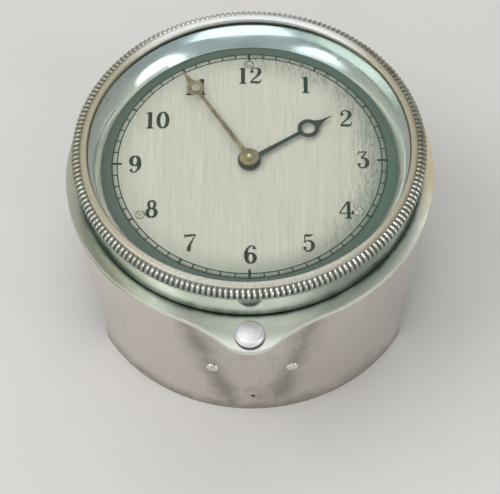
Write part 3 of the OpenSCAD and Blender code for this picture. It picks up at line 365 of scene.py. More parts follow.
def rib_nickel():
    """Rib nickel: bright on top, painted shade grey-green low down and tan at the left, dull there, brown at
    the right.
    """
    m, tree, shader, place = finish("rib_nickel")
    z = add(tree, "SeparateXYZ", {0: place}, "Z")
    cloud = add(tree, "TexNoise", {"Vector": place, "Scale": 1 / 5, "Detail": 3, "Roughness": 0.6})
    patch = add(tree, "MapRange", {0: cloud, 1: 0.4, 2: 0.7, 3: 0.0, 4: 0.35}, **SMOOTH)
    # the two zones are centred at two and at half past nine, and each fades out within a third of the rim
    corner = add(tree, "VectorMath", {0: place, 1: (1.3, 0.7, 0)}, "Value", operation="DOT_PRODUCT")
    corner = add(tree, "MapRange", {0: corner, 1: 34, 2: 52, 3: 0.0, 4: 0.55}, **SMOOTH)
    brown = add(tree, "Math", {0: patch, 1: corner}, operation="ADD")
    tint = add(tree, "Mix", {0: brown, 6: colour("#eef0e8"), 7: colour("#94896c")}, **MIX)
    # painted shade: low down the ribs are mixed to a darker grey-green, and made rougher
    low = add(tree, "MapRange", {0: z, 1: BEZEL_TOP - 1.15, 2: BEZEL_TOP - 0.45, 3: 0.75, 4: 0.0}, **SMOOTH)
    tint = add(tree, "Mix", {0: low, 6: tint, 7: colour("#85968a")}, **MIX)
    # painted shade: at the upper left the ribs are mixed to a darker tan, and made rougher
    left = add(tree, "VectorMath", {0: place, 1: (-1.3, 0.5, 0)}, "Value", operation="DOT_PRODUCT")
    left = add(tree, "MapRange", {0: left, 1: 38, 2: 52, 3: 0.0, 4: 0.75}, **SMOOTH)
    tint = add(tree, "Mix", {0: left, 6: tint, 7: colour("#a8a28c")}, **MIX)
    gloss = add(tree, "MapRange", {0: cloud, 1: 0.3, 2: 0.7, 3: 0.2, 4: 0.3})
    gloss = add(tree, "Math", {0: left, 1: 0.3, 2: gloss}, operation="MULTIPLY_ADD")
    gloss = add(tree, "Math", {0: low, 1: 0.35, 2: gloss}, operation="MULTIPLY_ADD")
    feed(tree, shader, {"Base Color": tint, "Roughness": gloss, "Metallic": 1.0})
    return m


def putty():
    """Old bedding putty at the foot of the lip: dull, lumpy and nearly black against the glass."""
    m, tree, shader, place = finish("dark_bedding")
    lump = add(tree, "TexNoise", {"Vector": place, "Scale": 1 / 1.5, "Detail": 3, "Roughness": 0.6})
    tint = add(tree, "Mix", {0: lump, 6: colour("#262a22"), 7: colour("#565a4a")}, **MIX)
    feed(tree, shader, {"Base Color": tint, "Roughness": 0.7})
    return m


def cone_nickel():
    """Reflector nickel: nearly a mirror with specks, a painted bluish reflection at the back, and a dull
    patch of painted shade.
    """
    m, tree, shader, place = finish("reflector_nickel")
    grit = add(tree, "TexNoise", {"Vector": place, "Scale": 1.0, "Detail": 2, "Roughness": 0.5})
    haze = add(tree, "TexNoise", {"Vector": place, "Scale": 1 / 9, "Detail": 3, "Roughness": 0.5})
    speck = add(tree, "MapRange", {0: grit, 1: 0.68, 2: 0.76}, **SMOOTH)
    y, z = add(tree, "SeparateXYZ", {0: place}).node.outputs[1:]
    # painted reflection: towards the back the wall is tinted bluish, as by reflected sky
    upper = add(tree, "MapRange", {0: y, 1: 18, 2: 33}, **SMOOTH)
    clean = add(tree, "Mix", {0: upper, 6: colour("#dfe3dc"), 7: colour("#dcf0f4")}, **MIX)
    tint = add(tree, "Mix", {0: speck, 6: clean, 7: colour("#a3a9a4")}, **MIX)
    # a patch of painted shade, also rougher, lies under the lip at half past one, about 23 mm long with soft
    # ends
    toward = add(tree, "VectorMath", {0: place, 1: (0.707, 0.707, 0)}, "Value", operation="DOT_PRODUCT")
    toward = add(tree, "MapRange", {0: toward, 1: 31.0, 2: 35.0}, **SMOOTH)
    high = add(tree, "MapRange", {0: z, 1: GLASS_TOP - 3.6, 2: GLASS_TOP - 2.7, 3: 0.0, 4: 0.9}, **SMOOTH)
    dull = add(tree, "Math", {0: toward, 1: high}, operation="MULTIPLY")
    tint = add(tree, "Mix", {0: dull, 6: tint, 7: colour("#86958d")}, **MIX)
    gloss = add(tree, "MapRange", {0: haze, 1: 0.3, 2: 0.7, 3: 0.1, 4: 0.22})
    gloss = add(tree, "Math", {0: dull, 1: 0.14, 2: gloss}, operation="MULTIPLY_ADD")
    feed(tree, shader, {"Base Color": tint, "Roughness": gloss, "Metallic": 1.0})
    return m


def button_nickel():
    """Buffed nickel of the button: nearly white and hazy, with a band of painted shade at its foot."""
    m, tree, shader, place = finish("buffed_nickel_button")
    haze = add(tree, "TexNoise", {"Vector": place, "Scale": 1 / 1.5, "Detail": 3, "Roughness": 0.5})
    tint = add(tree, "Mix", {0: haze, 6: colour("#fcfbfd"), 7: colour("#f0eff2")}, **MIX)
    z = add(tree, "SeparateXYZ", {0: place}, "Z")
    # painted shade: low on the button's side the colour turns dark grey
    foot_shade = add(tree, "MapRange", {0: z, 1: BUTTON_HIGH - 1.9, 2: BUTTON_HIGH - 1.5, 3: 0.9, 4: 0.0}, **SMOOTH)
    tint = add(tree, "Mix", {0: foot_shade, 6: tint, 7: colour("#4a4a46")}, **MIX)
    gloss = add(tree, "MapRange", {0: haze, 1: 0.3, 2: 0.7, 3: 0.52, 4: 0.58})
    feed(tree, shader, {"Base Color": tint, "Roughness": gloss, "Metallic": 1.0})
    return m


def silvered_dial():
    """Silvered brass grained from twelve to six: a soft sheen, streaked at the right, painted shade by the
    track, grey-green outside.
    """
    m, tree, shader, place = finish("silvered_dial")
    x, y = add(tree, "SeparateXYZ", {0: place}).node.outputs[:2]
    flat = add(tree, "VectorMath", {0: place, 1: (1, 1, 0)}, operation="MULTIPLY")
    far = add(tree, "VectorMath", {0: flat}, "Value", operation="LENGTH")
    # brushing is about 0.1 mm wide on the real dial, drawn at 0.2 mm so that it shows
    fine = add(tree, "Mapping", {0: place, "Scale": (1 / 0.2, 1 / 11, 1)})
    brush = add(tree, "TexNoise", {"Vector": fine, "Scale": 1, "Detail": 4, "Roughness": 0.7})
    wide = add(tree, "Mapping", {0: place, "Scale": (1 / 0.9, 1 / 6.5, 1)})
    broad = add(tree, "TexNoise", {"Vector": wide, "Scale": 1, "Detail": 5, "Roughness": 0.72})
    cloud = add(tree, "TexNoise", {"Vector": place, "Scale": 1 / 8, "Detail": 4, "Roughness": 0.6})
    streak = add(tree, "MapRange", {0: brush, 1: 0.25, 2: 0.75})
    tint = add(tree, "Mix", {0: streak, 6: colour("#a4a296"), 7: colour("#c9c5b8")}, **MIX)
    dark = add(tree, "MapRange", {0: broad, 1: 0.5, 2: 0.8, 3: 0.0, 4: 0.28}, **SMOOTH)
    tint = add(tree, "Mix", {0: dark, 6: tint, 7: colour("#8c8c7f")}, **MIX)
    # tarnish creeps in from the edge at the right, near one o'clock and round a screw, in upright streaks
    right = add(tree, "MapRange", {0: x, 1: 8, 2: 30}, **SMOOTH)
    edge = add(tree, "MapRange", {0: far, 1: 21, 2: 31, 3: 0.1, 4: 1.0}, **SMOOTH)
    upper = add(tree, "VectorMath", {0: place, 1: (0.38, 0.92, 0)}, "Value", operation="DOT_PRODUCT")
    upper = add(tree, "MapRange", {0: upper, 1: 22, 2: 31, 3: 0.0, 4: 0.8}, **SMOOTH)
    reach = add(tree, "Math", {0: right, 1: edge}, operation="MULTIPLY")
    reach = add(tree, "Math", {0: reach, 1: upper}, operation="MAXIMUM")
    screw = add(tree, "VectorMath", {0: flat, 1: (27.0, -15.0, 0)}, "Value", operation="DISTANCE")
    screw = add(tree, "MapRange", {0: screw, 1: 2.0, 2: 6.5, 3: 0.95, 4: 0.0}, **SMOOTH)
    reach = add(tree, "Math", {0: reach, 1: screw}, operation="MAXIMUM")
    upright = add(tree, "Mapping", {0: place, "Scale": (1 / 0.5, 1 / 4.5, 1)})
    smear = add(tree, "TexNoise", {"Vector": upright, "Scale": 1, "Detail": 6, "Roughness": 0.75})
    spots = add(tree, "MapRange", {0: smear, 1: 0.47, 2: 0.6, 3: 0.1, 4: 0.75}, **SMOOTH)
    narrow = add(tree, "Mapping", {0: place, "Scale": (1 / 0.35, 1 / 1.2, 1)})
    pits = add(tree, "TexNoise", {"Vector": narrow, "Scale": 1, "Detail": 4, "Roughness": 0.65})
    pits = add(tree, "MapRange", {0: pits, 1: 0.565, 2: 0.6}, **SMOOTH)
    spots = add(tree, "Math", {0: spots, 1: pits}, operation="MAXIMUM")
    stain = add(tree, "Math", {0: spots, 1: reach}, operation="MULTIPLY")
    tint = add(tree, "Mix", {0: stain, 6: tint, 7: colour("#39463e")}, **MIX)
    # the plate is painted darker towards the minute track as shade, most at the lower right, and is dark
    # grey-green outside it
    corner = add(tree, "Math", {0: y, 1: -0.6, 2: x}, operation="MULTIPLY_ADD")
    corner = add(tree, "MapRange", {0: corner, 1: -12, 2: 34, 3: 0.25, 4: 0.75}, **SMOOTH)
    near = add(tree, "MapRange", {0: far, 1: 25, 2: TRACK_IN + 0.5}, **SMOOTH)
    dulled = add(tree, "Math", {0: near, 1: corner}, operation="MULTIPLY")
    tint = add(tree, "Mix", {0: dulled, 6: tint, 7: colour("#6f7a6d")}, **MIX)
    ring = add(tree, "Math", {0: broad, 1: 1.6, 2: far}, operation="MULTIPLY_ADD")
    ring = add(tree, "MapRange", {0: ring, 1: TRACK_OUT - 0.6, 2: TRACK_OUT + 1.3, 3: 0.0, 4: 0.95}, **SMOOTH)
    green = add(tree, "Mix", {0: cloud, 6: colour("#1b382c"), 7: colour("#3a574a")}, **MIX)
    tint = add(tree, "Mix", {0: ring, 6: tint, 7: green}, **MIX)
    gloss = add(tree, "MapRange", {0: brush, 1: 0.3, 2: 0.7, 3: 0.42, 4: 0.55})
    bump = add(tree, "Bump", {"Height": brush, "Distance": 0.01 * MM, "Strength": 0.2})
    feed(tree, shader, {"Base Color": tint, "Roughness": gloss, "Metallic": 0.15, "Normal": bump})
    return m


def black_wax():
    """Black wax run into the engraved marks: dull, with worn spots."""
    m, tree, shader, place = finish("black_wax")
    rub = add(tree, "TexNoise", {"Vector": place, "Scale": 1 / 0.9, "Detail": 3, "Roughness": 0.6})
    worn = add(tree, "MapRange", {0: rub, 1: 0.6, 2: 0.75}, **SMOOTH)
    tint = add(tree, "Mix", {0: worn, 6: colour("#0e2413"), 7: colour("#1a2e1e")}, **MIX)
    feed(tree, shader, {"Base Color": tint, "Roughness": 0.62, "Specular IOR Level": 0.08})
    return m


def patched_metal(name, dark, light, size_mm, metal, rough_low, rough_high):
    """A metal whose colour and gloss wander over patches of size_mm."""
    m, tree, shader, place = finish(name)
    stretch = add(tree, "Mapping", {0: place, "Scale": [1 / s for s in size_mm]})
    patch = add(tree, "TexNoise", {"Vector": stretch, "Scale": 1, "Detail": 4, "Roughness": 0.6})
    share = add(tree, "MapRange", {0: patch, 1: 0.32, 2: 0.7}, **SMOOTH)
    tint = add(tree, "Mix", {0: share, 6: colour(dark), 7: colour(light)}, **MIX)
    gloss = add(tree, "MapRange", {0: patch, 1: 0.3, 2: 0.7, 3: rough_low, 4: rough_high})
    feed(tree, shader, {"Base Color": tint, "Roughness": gloss, "Metallic": metal})
    return m


def clock_glass():
    """Thin flat clear glass: glossy, hardly bending the view, and lamps shine through it onto the dial."""
    m, tree, shader, _ = finish("clear_glass")
    clear_tint = colour("#fbfdfb")
    feed(tree, shader, {"Base Color": clear_tint, "Roughness": 0.0, "IOR": 1.05, "Transmission Weight": 1.0,
                        "Coat Weight": 0.45, "Coat Roughness": 0.0, "Coat IOR": 1.5})
    lamp = add(tree, "LightPath", {}, "Is Shadow Ray")
    open_way = add(tree, "BsdfTransparent", {"Color": clear_tint})
    both = add(tree, "MixShader", {0: lamp, 1: shader.outputs[0], 2: open_way})
    feed(tree, tree.nodes["Material Output"], {"Surface": both})
    return m


MATERIALS = {
    "drum": drum_nickel(),
    "flange": flange_nickel(),
    "edge": worn_edge(),
    "rim": rim_nickel(),
    "rib": rib_nickel(),
    "cone": cone_nickel(),
    "button": button_nickel(),
    "dial": silvered_dial(),
    "wax": black_wax(),
    "putty": putty(),
    "glass": clock_glass(),
    # rivet heads rubbed to a soft pale shine
    "rivet": patched_metal("rubbed_rivet_nickel", "#d2cfc2", "#f6f4ec", (1.2, 1.2, 1.2), 1.0, 0.18, 0.3),
    # screw heads under the glass, dulled in yellow-grey patches
    "screw": patched_metal("dulled_screw_nickel", "#8d9180", "#cfd2c2", (1.0, 1.0, 1.0), 1.0, 0.2, 0.34),
    # gilding gone brown, with warm glints where it is thin
    "gilt": patched_metal("tarnished_gilt", "#5f5740", "#978b66", (2.5, 2.5, 2.5), 0.9, 0.3, 0.42),
    # gilding rubbed bright on the nut and on the arbor's end
    "nut": patched_metal("rubbed_gilt_nut", "#b9ad86", "#ebe2c4", (0.8, 0.8, 0.8), 1.0, 0.2, 0.32),
    # heat-blued steel that has gone nearly black, with a faint cool sheen
    "blued": patched_metal("blued_steel", "#112216", "#1b3022", (4.0, 4.0, 4.0), 0.5, 0.38, 0.46),
    # plates and wheels ground along one way, a warm yellow with soft lines
    "brass": patched_metal("ground_brass", "#b39452", "#c4a662", (0.35, 18.0, 0.35), 1.0, 0.24, 0.34),
    # polished steel, cool grey with fine changes of gloss
    "steel": patched_metal("polished_steel", "#92969a", "#a6aaae", (0.8, 0.8, 4.0), 1.0, 0.18, 0.28),
}
SLOT_FINISH = {"nickel": "drum", "brass": "brass", "steel": "steel", "blued_steel": "blued", "gilt": "gilt",
               "silvered_dial": "dial", "clear_glass": "glass"}
NODE_FINISH = {"flange_plate": "flange", "bezel_rim": "rim", "reflector_ring": "cone", "hand_nut": "nut",
               "setting_button": "button", "dial_screws": "screw", "case_rivets": "rivet"}


def dress(obj, *names):
    """Gives a piece its finishes."""
    obj.data.materials.clear()
    for n in names:
        obj.data.materials.append(MATERIALS[n])
    return obj


def seat(obj, body, slot, *replaced):
    """The piece rides on a body and stands for the solids that it replaces; its slot is not used."""
    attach(obj, body)
    if replaced:
        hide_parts(*replaced)
    return obj


def dress_solids():
    """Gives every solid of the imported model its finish."""
    for part in frame["record"]["subparts"]:
        which = NODE_FINISH.get(part["node"], SLOT_FINISH[part["material_slot"]])
        for slot in nodes[part["node"]].material_slots:
            slot.material = MATERIALS[which]


# Camera, floor and light

def photograph_camera():
    """The camera found from the dial's minute marks: distances in millimetres from the dial's centre."""
    tilt = math.radians(56.599)
    roll = math.radians(2.343)
    yaw = math.radians(1.8895)
    distance, aside, raised = 451.03, -0.676, -19.76
    back = Vector((0, -math.cos(tilt), math.sin(tilt)))
    right = Vector((1, 0, 0))
    up = Vector((0, math.sin(tilt), math.cos(tilt)))
    eye = back * distance + right * aside + up * raised
    turned = Matrix.Rotation(yaw, 3, "Z")
    back, right, up, eye = (turned @ v for v in (back, right, up, eye))
    across = right * math.cos(roll) - up * math.sin(roll)
    upward = right * math.sin(roll) + up * math.cos(roll)
    data = bpy.data.cameras.new("photo_camera")
    data.lens = 139.2
    data.sensor_width = 36
    data.clip_start = 0.01
    data.clip_end = 20
    camera = bpy.data.objects.new("photo_camera", data)
    bpy.context.scene.collection.objects.link(camera)
    pose = Matrix((across, upward, back)).transposed().to_4x4()
    pose.translation = (eye + Vector((0, 0, DIAL_TOP))) * MM
    camera.matrix_world = pose
    bpy.context.scene.camera = camera


# Place and width in metres, and power in watts
SOFTBOXES = {
    "key_softbox": ((-0.75, -0.05, 0.95), 0.9, 4.2),
    "back_softbox": ((0.0, 0.72, 1.08), 1.3, 3.4),
    "top_softbox": ((0.05, -0.75, 1.15), 1.1, 3.4),
    "left_softbox": ((-0.88, -0.82, 0.22), 0.75, 2.0),
    "right_softbox": ((1.0, -0.6, 0.22), 0.75, 3.4),
}


def softbox(name, place, size, power):
    """A round softbox that faces the clock and doesn't show in the picture itself."""
    data = bpy.data.lights.new(name, "AREA")
    data.shape = "DISK"
    data.size = size
    data.energy = power
    lamp = bpy.data.objects.new(name, data)
    bpy.context.scene.collection.objects.link(lamp)
    lamp.location = place
    lamp.rotation_euler = (-Vector(place)).to_track_quat("-Z", "Y").to_euler()
    lamp.visible_camera = False


def studio():
    """Pale floor, grey-white surroundings and five softboxes."""
    scene = bpy.context.scene
    scene.view_settings.view_transform = "Standard"
    clear()
    bpy.ops.mesh.primitive_plane_add(size=4)
    floor = bpy.context.object
    floor.name = "floor"
    m, tree, shader, place = finish("pale_card")
    tone = add(tree, "TexNoise", {"Vector": place, "Scale": 1 / 30, "Detail": 3, "Roughness": 0.5})
    tint = add(tree, "Mix", {0: tone, 6: colour("#e3dfdb"), 7: colour("#eae7e3")}, **MIX)
    feed(tree, shader, {"Base Color": tint, "Roughness": 0.8})
    floor.data.materials.append(m)
    world = scene.world or bpy.data.worlds.new("studio")
    scene.world = world
    world.use_nodes = True
    feed(world.node_tree, world.node_tree.nodes["Background"], {"Color": colour("#d2d5d6"), "Strength": 0.52})
    for name, lamp in SOFTBOXES.items():
        softbox(name, *lamp)


# Pieces

def bezel():
    """Bezel: a polished skirt, ribs that curve over its shoulder, a satin lip and the glass's bedding."""
    low, top = BEZEL_LOW, BEZEL_TOP
    # the ribs stay inside the knurl's edge and below the lip, and the floor lies just outside their middle
    rib_half, rib_in, rib_down, groove = 0.42, 0.05, 0.1, 0.04
    mid_r, mid_z = KNURL_R - SHOULDER_W, top - SHOULDER_H
    across, up = SHOULDER_W - rib_in - rib_half, SHOULDER_H - rib_down - rib_half
    floor = [(mid_r + (across + groove) * math.cos(t), mid_z + (up + groove) * math.sin(t))
             for t in QUARTER_TURN]
    roll_z, roll_end = top - 3.3, mid_z - 0.15
    roll_w, roll_h = floor[0][0] - SKIRT_R, roll_end - roll_z
    hook = [(SKIRT_R + roll_w * math.sin(t), roll_z + roll_h * (1 - math.cos(t))) for t in QUARTER_TURN]
    brow = [(mid_r - x, top - z) for x, z in ((0.04, 0.42), (0.14, 0.25), (0.3, 0.11), (0.54, 0.02))]
    lip = [(LIP_R + x, top - z) for x, z in ((0.42, 0), (0.25, 0.02), (0.13, 0.09), (0.06, 0.2))]
    bed_h, bed_in, bed_out = 0.12, 0.12, 0.05
    inside = [(LIP_R + 0.02, GLASS_TOP + 0.4), (LIP_R, GLASS_TOP + bed_h), (LIP_R, GLASS_TOP),
              (BEZEL_BORE_R, GLASS_TOP)]
    foot = [(BEZEL_BORE_R, low + 0.05), (BEZEL_BORE_R + 0.1, low), (SKIRT_R - 0.4, low),
            (SKIRT_R - 0.11, low + 0.12), (SKIRT_R, low + 0.4)]
    rim = lathe("bezel_rim_turned", [*foot, *hook, *floor, *brow, *lip, *inside], steps=256)
    # one rib follows the shoulder with round ends, more than half sunk into it
    halves = (0.18, 0.38, rib_half, rib_half, rib_half, rib_half, 0.4, 0.2)
    first, last = -12, 100
    turns = [math.radians(first + (last - first) * k / 7) for k in range(8)]
    rib = drawn_stroke([(mid_r + across * math.cos(t), mid_z + up * math.sin(t), half)
                        for t, half in zip(turns, halves)], closed=False, sides=2, steps=1)
    rib.name = "bezel_ribs"
    rib.scale = (MM, MM, MM)
    rib.rotation_euler = (math.radians(90), 0, 0)
    tidy_mesh(settle(rib))
    ribs = ring_of(rib, RIB_COUNT)
    bed = lathe("glass_bedding", [(LIP_R - bed_in, GLASS_TOP), (LIP_R + bed_out, GLASS_TOP),
                                  (LIP_R + bed_out, GLASS_TOP + bed_h), (LIP_R - 0.04, GLASS_TOP + 0.05)])
    seat(dress(rim, "rim"), "bezel", "nickel", "bezel_rim")
    seat(dress(ribs, "rib"), "bezel", "nickel")
    seat(dress(bed, "putty"), "bezel", "nickel")


def reflector():
    """Reflector ring round the dial: a rolled wall that flares out under the lip."""
    low, high = DIAL_TOP + 0.2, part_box("glass")[0].z / MM - 0.02
    skin, flare_h, foot_r, knee_r = 0.6, 0.9, 34.1, 36.66
    foot, knee, rim = (foot_r, low), (knee_r, high - flare_h), (BEZEL_BORE_R - 0.75, high)
    # the wall bulges a little towards the dial
    bulge, inward = 0.16, (-0.83, 0.55)
    wall = []
    for t in (k / 12 for k in range(11)):
        out = bulge * 4 * t * (1 - t)
        wall.append(tuple(foot[i] + (knee[i] - foot[i]) * t + inward[i] * out for i in (0, 1)))
    wall += swept(wall[-1], knee, rim)
    outer = BEZEL_BORE_R - 0.03
    back = [(outer, high), (outer, high - skin), (knee_r + 0.8, high - flare_h), (foot_r + skin, low)]
    seat(dress(lathe("reflector_rolled", wall + back), "cone"), "bezel", "nickel", "reflector_ring")


def flange():
    """Flange and spout with softly rolled, rubbed edges."""
    edge_r, crease = 0.5, math.radians(40)
    obj = bpy.data.objects.new("flange_soft", nodes["flange_plate"].data.copy())
    bpy.context.scene.collection.objects.link(obj)
    dress(obj, "flange", "edge")
    edit_all(obj)
    bpy.ops.mesh.customdata_custom_splitnormals_clear()
    bpy.ops.mesh.remove_doubles(threshold=0.003 * MM)
    bpy.ops.mesh.select_all(action="SELECT")
    bpy.ops.mesh.dissolve_limited(angle_limit=math.radians(0.4))
    clear()
    m = obj.modifiers.new("round", "BEVEL")
    m.width = edge_r * MM
    m.segments = 5
    m.limit_method = "ANGLE"
    m.angle_limit = crease
    m.material = 1
    apply_modifiers(obj)
    settle(obj, 30)
    # the flat faces keep their own normals beside the rolled edge
    m = obj.modifiers.new("flat", "WEIGHTED_NORMAL")
    m.weight = 100
    m.keep_sharp = True
    apply_modifiers(obj)
    seat(obj, "case", "nickel", "flange_plate")


def button():
    """Pill-shaped button with a slight crown, a collar under the flange and its stem."""
    r, crown_h, edge_w, edge_h = 3.35, 0.3, 1.2, 1.3
    stem_r, collar_r, collar_low, collar_high = 1.0, r + 0.2, 39.0, 39.6
    mark = [(0, BUTTON_HIGH - 0.1), (0.14, BUTTON_HIGH - 0.05)]
    crown = [(k * (r - edge_w) / 6, BUTTON_HIGH - crown_h * (k / 6) ** 2) for k in range(1, 6)]
    edge = rounded(r, BUTTON_HIGH - crown_h, edge_w, edge_h, steps=10)
    stem = [(r, collar_high), (collar_r, collar_high), (collar_r, collar_low), (stem_r, collar_low),
            (stem_r, BUTTON_LOW), (0, BUTTON_LOW)]
    obj = lathe("button_domed", [*mark, *crown, *edge, *stem], steps=72, centre=(0, BUTTON_Y))
    seat(dress(obj, "button"), "button", "nickel", "setting_button")


def copies(first, turns):
    """Copies of a finished piece, each with its own mesh, turned about the drum's axis."""
    made = [first]
    for turn in turns:
        take(first)
        bpy.ops.object.duplicate(linked=False)
        made.append(bpy.context.object)
        made[-1].rotation_euler.z = math.radians(turn)
        settle(made[-1])
    return made


def rivets():
    """Two domed rivet heads on the drum's front."""
    head_r, head_h, root, half_apart = 1.5, 0.55, 0.3, 13
    dome = [(head_r * math.sin(t), head_h * math.cos(t)) for t in QUARTER_TURN]
    head = lathe("rivet_head", [*dome, (head_r, -root), (0, -root)], steps=32)
    a = math.radians(-half_apart)
    head.rotation_euler = (math.radians(90), 0, a)
    head.location = (math.sin(a) * DRUM_R * MM, -math.cos(a) * DRUM_R * MM, RIVET_Z * MM)
    heads = copies(settle(head), [2 * half_apart])
    seat(dress(join("rivet_heads", heads), "rivet"), "case", "nickel", "case_rivets")


def dial_screws():
    """Three screws with slotted, domed heads that hold the dial, each in a thin dark ring."""
    r, high, sill, root, thirds = 1.05, SCREW_TOP - DIAL_TOP, 0.45, 0.05, (120, -120)
    dome = [(r * math.sin(t), DIAL_TOP + high * (sill + (1 - sill) * math.cos(t))) for t in QUARTER_TURN]
    head = lathe("dial_screw", [*dome, (r, DIAL_TOP - root), (0, DIAL_TOP - root)], steps=32,
                 centre=(0, SCREW_AT))
    slot_size, slot_turn = (3.0, 0.26, 0.4), math.radians(70)
    slot = bar("slot", slot_size, (0, 0, 0), 0.02)
    slot.rotation_euler = (0, 0, slot_turn)
    slot.location = (0, SCREW_AT * MM, SCREW_TOP * MM)
    settle(slot)
    m = head.modifiers.new("cut", "BOOLEAN")
    m.operation = "DIFFERENCE"
    m.object = slot
    apply_modifiers(head)
    take(slot)
    bpy.ops.object.delete()
    heads = copies(settle(head), thirds)
    # a thin dark ring round each head, lying on the dial
    rim = lathe("screw_rim", [(r, DIAL_TOP - 0.02), (r + 0.14, DIAL_TOP - 0.02), (r + 0.12, DIAL_TOP + 0.01),
                              (r + 0.02, DIAL_TOP + 0.012)], steps=32, centre=(0, SCREW_AT))
    rims = copies(rim, thirds)
    seat(dress(join("dial_screw_heads", heads), "screw"), "case", "nickel", "dial_screws")
    seat(dress(join("dial_screw_dark_rings", rims), "putty"), "case", "silvered_dial")


def sheet_metal(outlines, half, edge):
    """A flat piece cut along closed outlines, with half its thickness and its rounding in millimetres."""
    clear()
    bpy.ops.curve.primitive_bezier_curve_add()
    obj = bpy.context.object
    curve = obj.data
    curve.dimensions = "2D"
    curve.fill_mode = "BOTH"
    curve.splines.clear()
    for points in outlines:
        spline = curve.splines.new("POLY")
        spline.points.add(len(points) - 1)
        spline.use_cyclic_u = True
        for p, (x, y) in zip(spline.points, points):
            p.co = (x * MM, y * MM, 0, 1)
    curve.bevel_depth = edge * MM
    curve.bevel_resolution = 1
    curve.offset = -edge * MM
    curve.extrude = (half - edge) * MM
    take(obj)
    bpy.ops.object.convert(target="MESH")
    obj = bpy.context.object
    tidy_mesh(obj, 0.0005)
    return obj


def lever_leaf():
    """Spring leaf over the setting lever: a block and a thin tongue, which the lever bends; here one fixed
    shape, its tip lifted a little.
    """
    (low, high), (tip, end) = (tuple(c[k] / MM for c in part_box("lever_spring")) for k in (2, 1))
    half_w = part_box("lever_spring")[1].x / MM
    thin, block_w, fillet, lift = 0.25, 3.0, 0.4, 0.3
    root = end - block_w
    run = root - fillet - tip
    top = [(root - fillet - run * k / 14, low + thin + lift * max(0, (k - 10) / 4) ** 2) for k in range(15)]
    block = [(end, low), (end, high), (root, high), (root, low + thin + fillet),
             (root - 0.12, low + thin + 0.12)]
    under = [(y, z - thin) for y, z in reversed(top)]
    leaf = sheet_metal([block + top + under], half_w, 0.03)
    leaf.name = "lever_leaf"
    leaf.rotation_euler = (math.radians(90), 0, math.radians(90))
    dress(settle(leaf), "steel")
    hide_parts("lever_spring")
    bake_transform(leaf)


def hand(name, boss, turn, mid_z, length, ring_at, ring_r, ring_in, hub_w, rod_w, neck):
    """A flat hand cut from sheet with rounded edges: rod, ring, a point with hollow sides, and its boss."""
    join_x = ring_at - math.sqrt(ring_r ** 2 - (rod_w / 2) ** 2)
    start, leave = math.pi - math.asin(rod_w / 2 / ring_r), math.radians(28)
    arc = [(ring_at + ring_r * math.cos(t), ring_r * math.sin(t))
           for t in (start + (leave - start) * k / 14 for k in range(15))]
    tip_half, blade_half, edge = 0.07, 0.125, 0.07
    point = swept(arc[-1], (ring_at + ring_r * 1.25, ring_r * neck), (length, tip_half))
    upper = [(0, hub_w / 2), (join_x - 0.3, rod_w / 2), *arc, *point]
    outline = upper + [(x, -y) for x, y in reversed(upper)]
    hole = [(ring_at + ring_in * math.cos(t), -ring_in * math.sin(t))
            for t in (FULL_TURN * k / 32 for k in range(32))]
    blade = sheet_metal([outline, hole], blade_half, edge)
    blade.location.z = mid_z * MM
    blade.rotation_euler.z = turn
    settle(blade)
    return join(name, [blade, lathe("boss", boss, steps=48)])


def hands():
    """Hour hand of blued steel below, minute hand of gilt brass above, at five to two."""
    minutes = 54.7
    low, high, boss_r, bore_r = HOUR_HUB_LOW, HOUR_HUB_HIGH, 2.7, 1.95
    boss = [(bore_r, high), *rounded(boss_r, high, 0.15, 0.15), (boss_r, low + 0.1), (boss_r - 0.1, low),
            (bore_r, low)]
    hour = hand("hour_hand_cut", boss, turn=math.radians(90 - 30 * (1 + minutes / 60)), mid_z=low + 0.525,
                length=23.1, ring_at=16.5, ring_r=2.58, ring_in=1.6, hub_w=1.25, rod_w=0.85, neck=0.1)
    seat(dress(hour, "blued"), "hour", "blued_steel", "hour_hand")
    low, high, boss_r, bore_r = MINUTE_HUB_LOW, MINUTE_HUB_HIGH, 2.35, 0.8
    boss = [(bore_r, high), *rounded(boss_r, high, 0.25, 0.2), (boss_r, low + 0.1), (boss_r - 0.1, low),
            (bore_r, low)]
    minute = hand("minute_hand_cut", boss, turn=math.radians(90 - 6 * minutes), mid_z=low + 0.325,
                  length=30.4, ring_at=24.3, ring_r=2.1, ring_in=1.08, hub_w=1.2, rod_w=0.85, neck=0.25)
    seat(dress(minute, "gilt"), "centre", "gilt", "minute_hand")
    cap_r, cap_in, cap_top = 1.3, 0.5, high + 0.2
    cap = lathe("hand_nut_turned", [(cap_in, cap_top), *rounded(cap_r, cap_top, 0.15, 0.12), (cap_r, high),
                                    (cap_in, high)], steps=48)
    pin_r, pin_top = 0.55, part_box("hand_nut")[1].z / MM
    pin = lathe("arbor_end", [(0, pin_top), *rounded(pin_r, pin_top - 0.02, 0.3, 0.2), (pin_r, high),
                              (0, high)], steps=32)
    seat(dress(cap, "gilt"), "centre", "gilt", "hand_nut")
    seat(dress(pin, "nut"), "centre", "gilt")


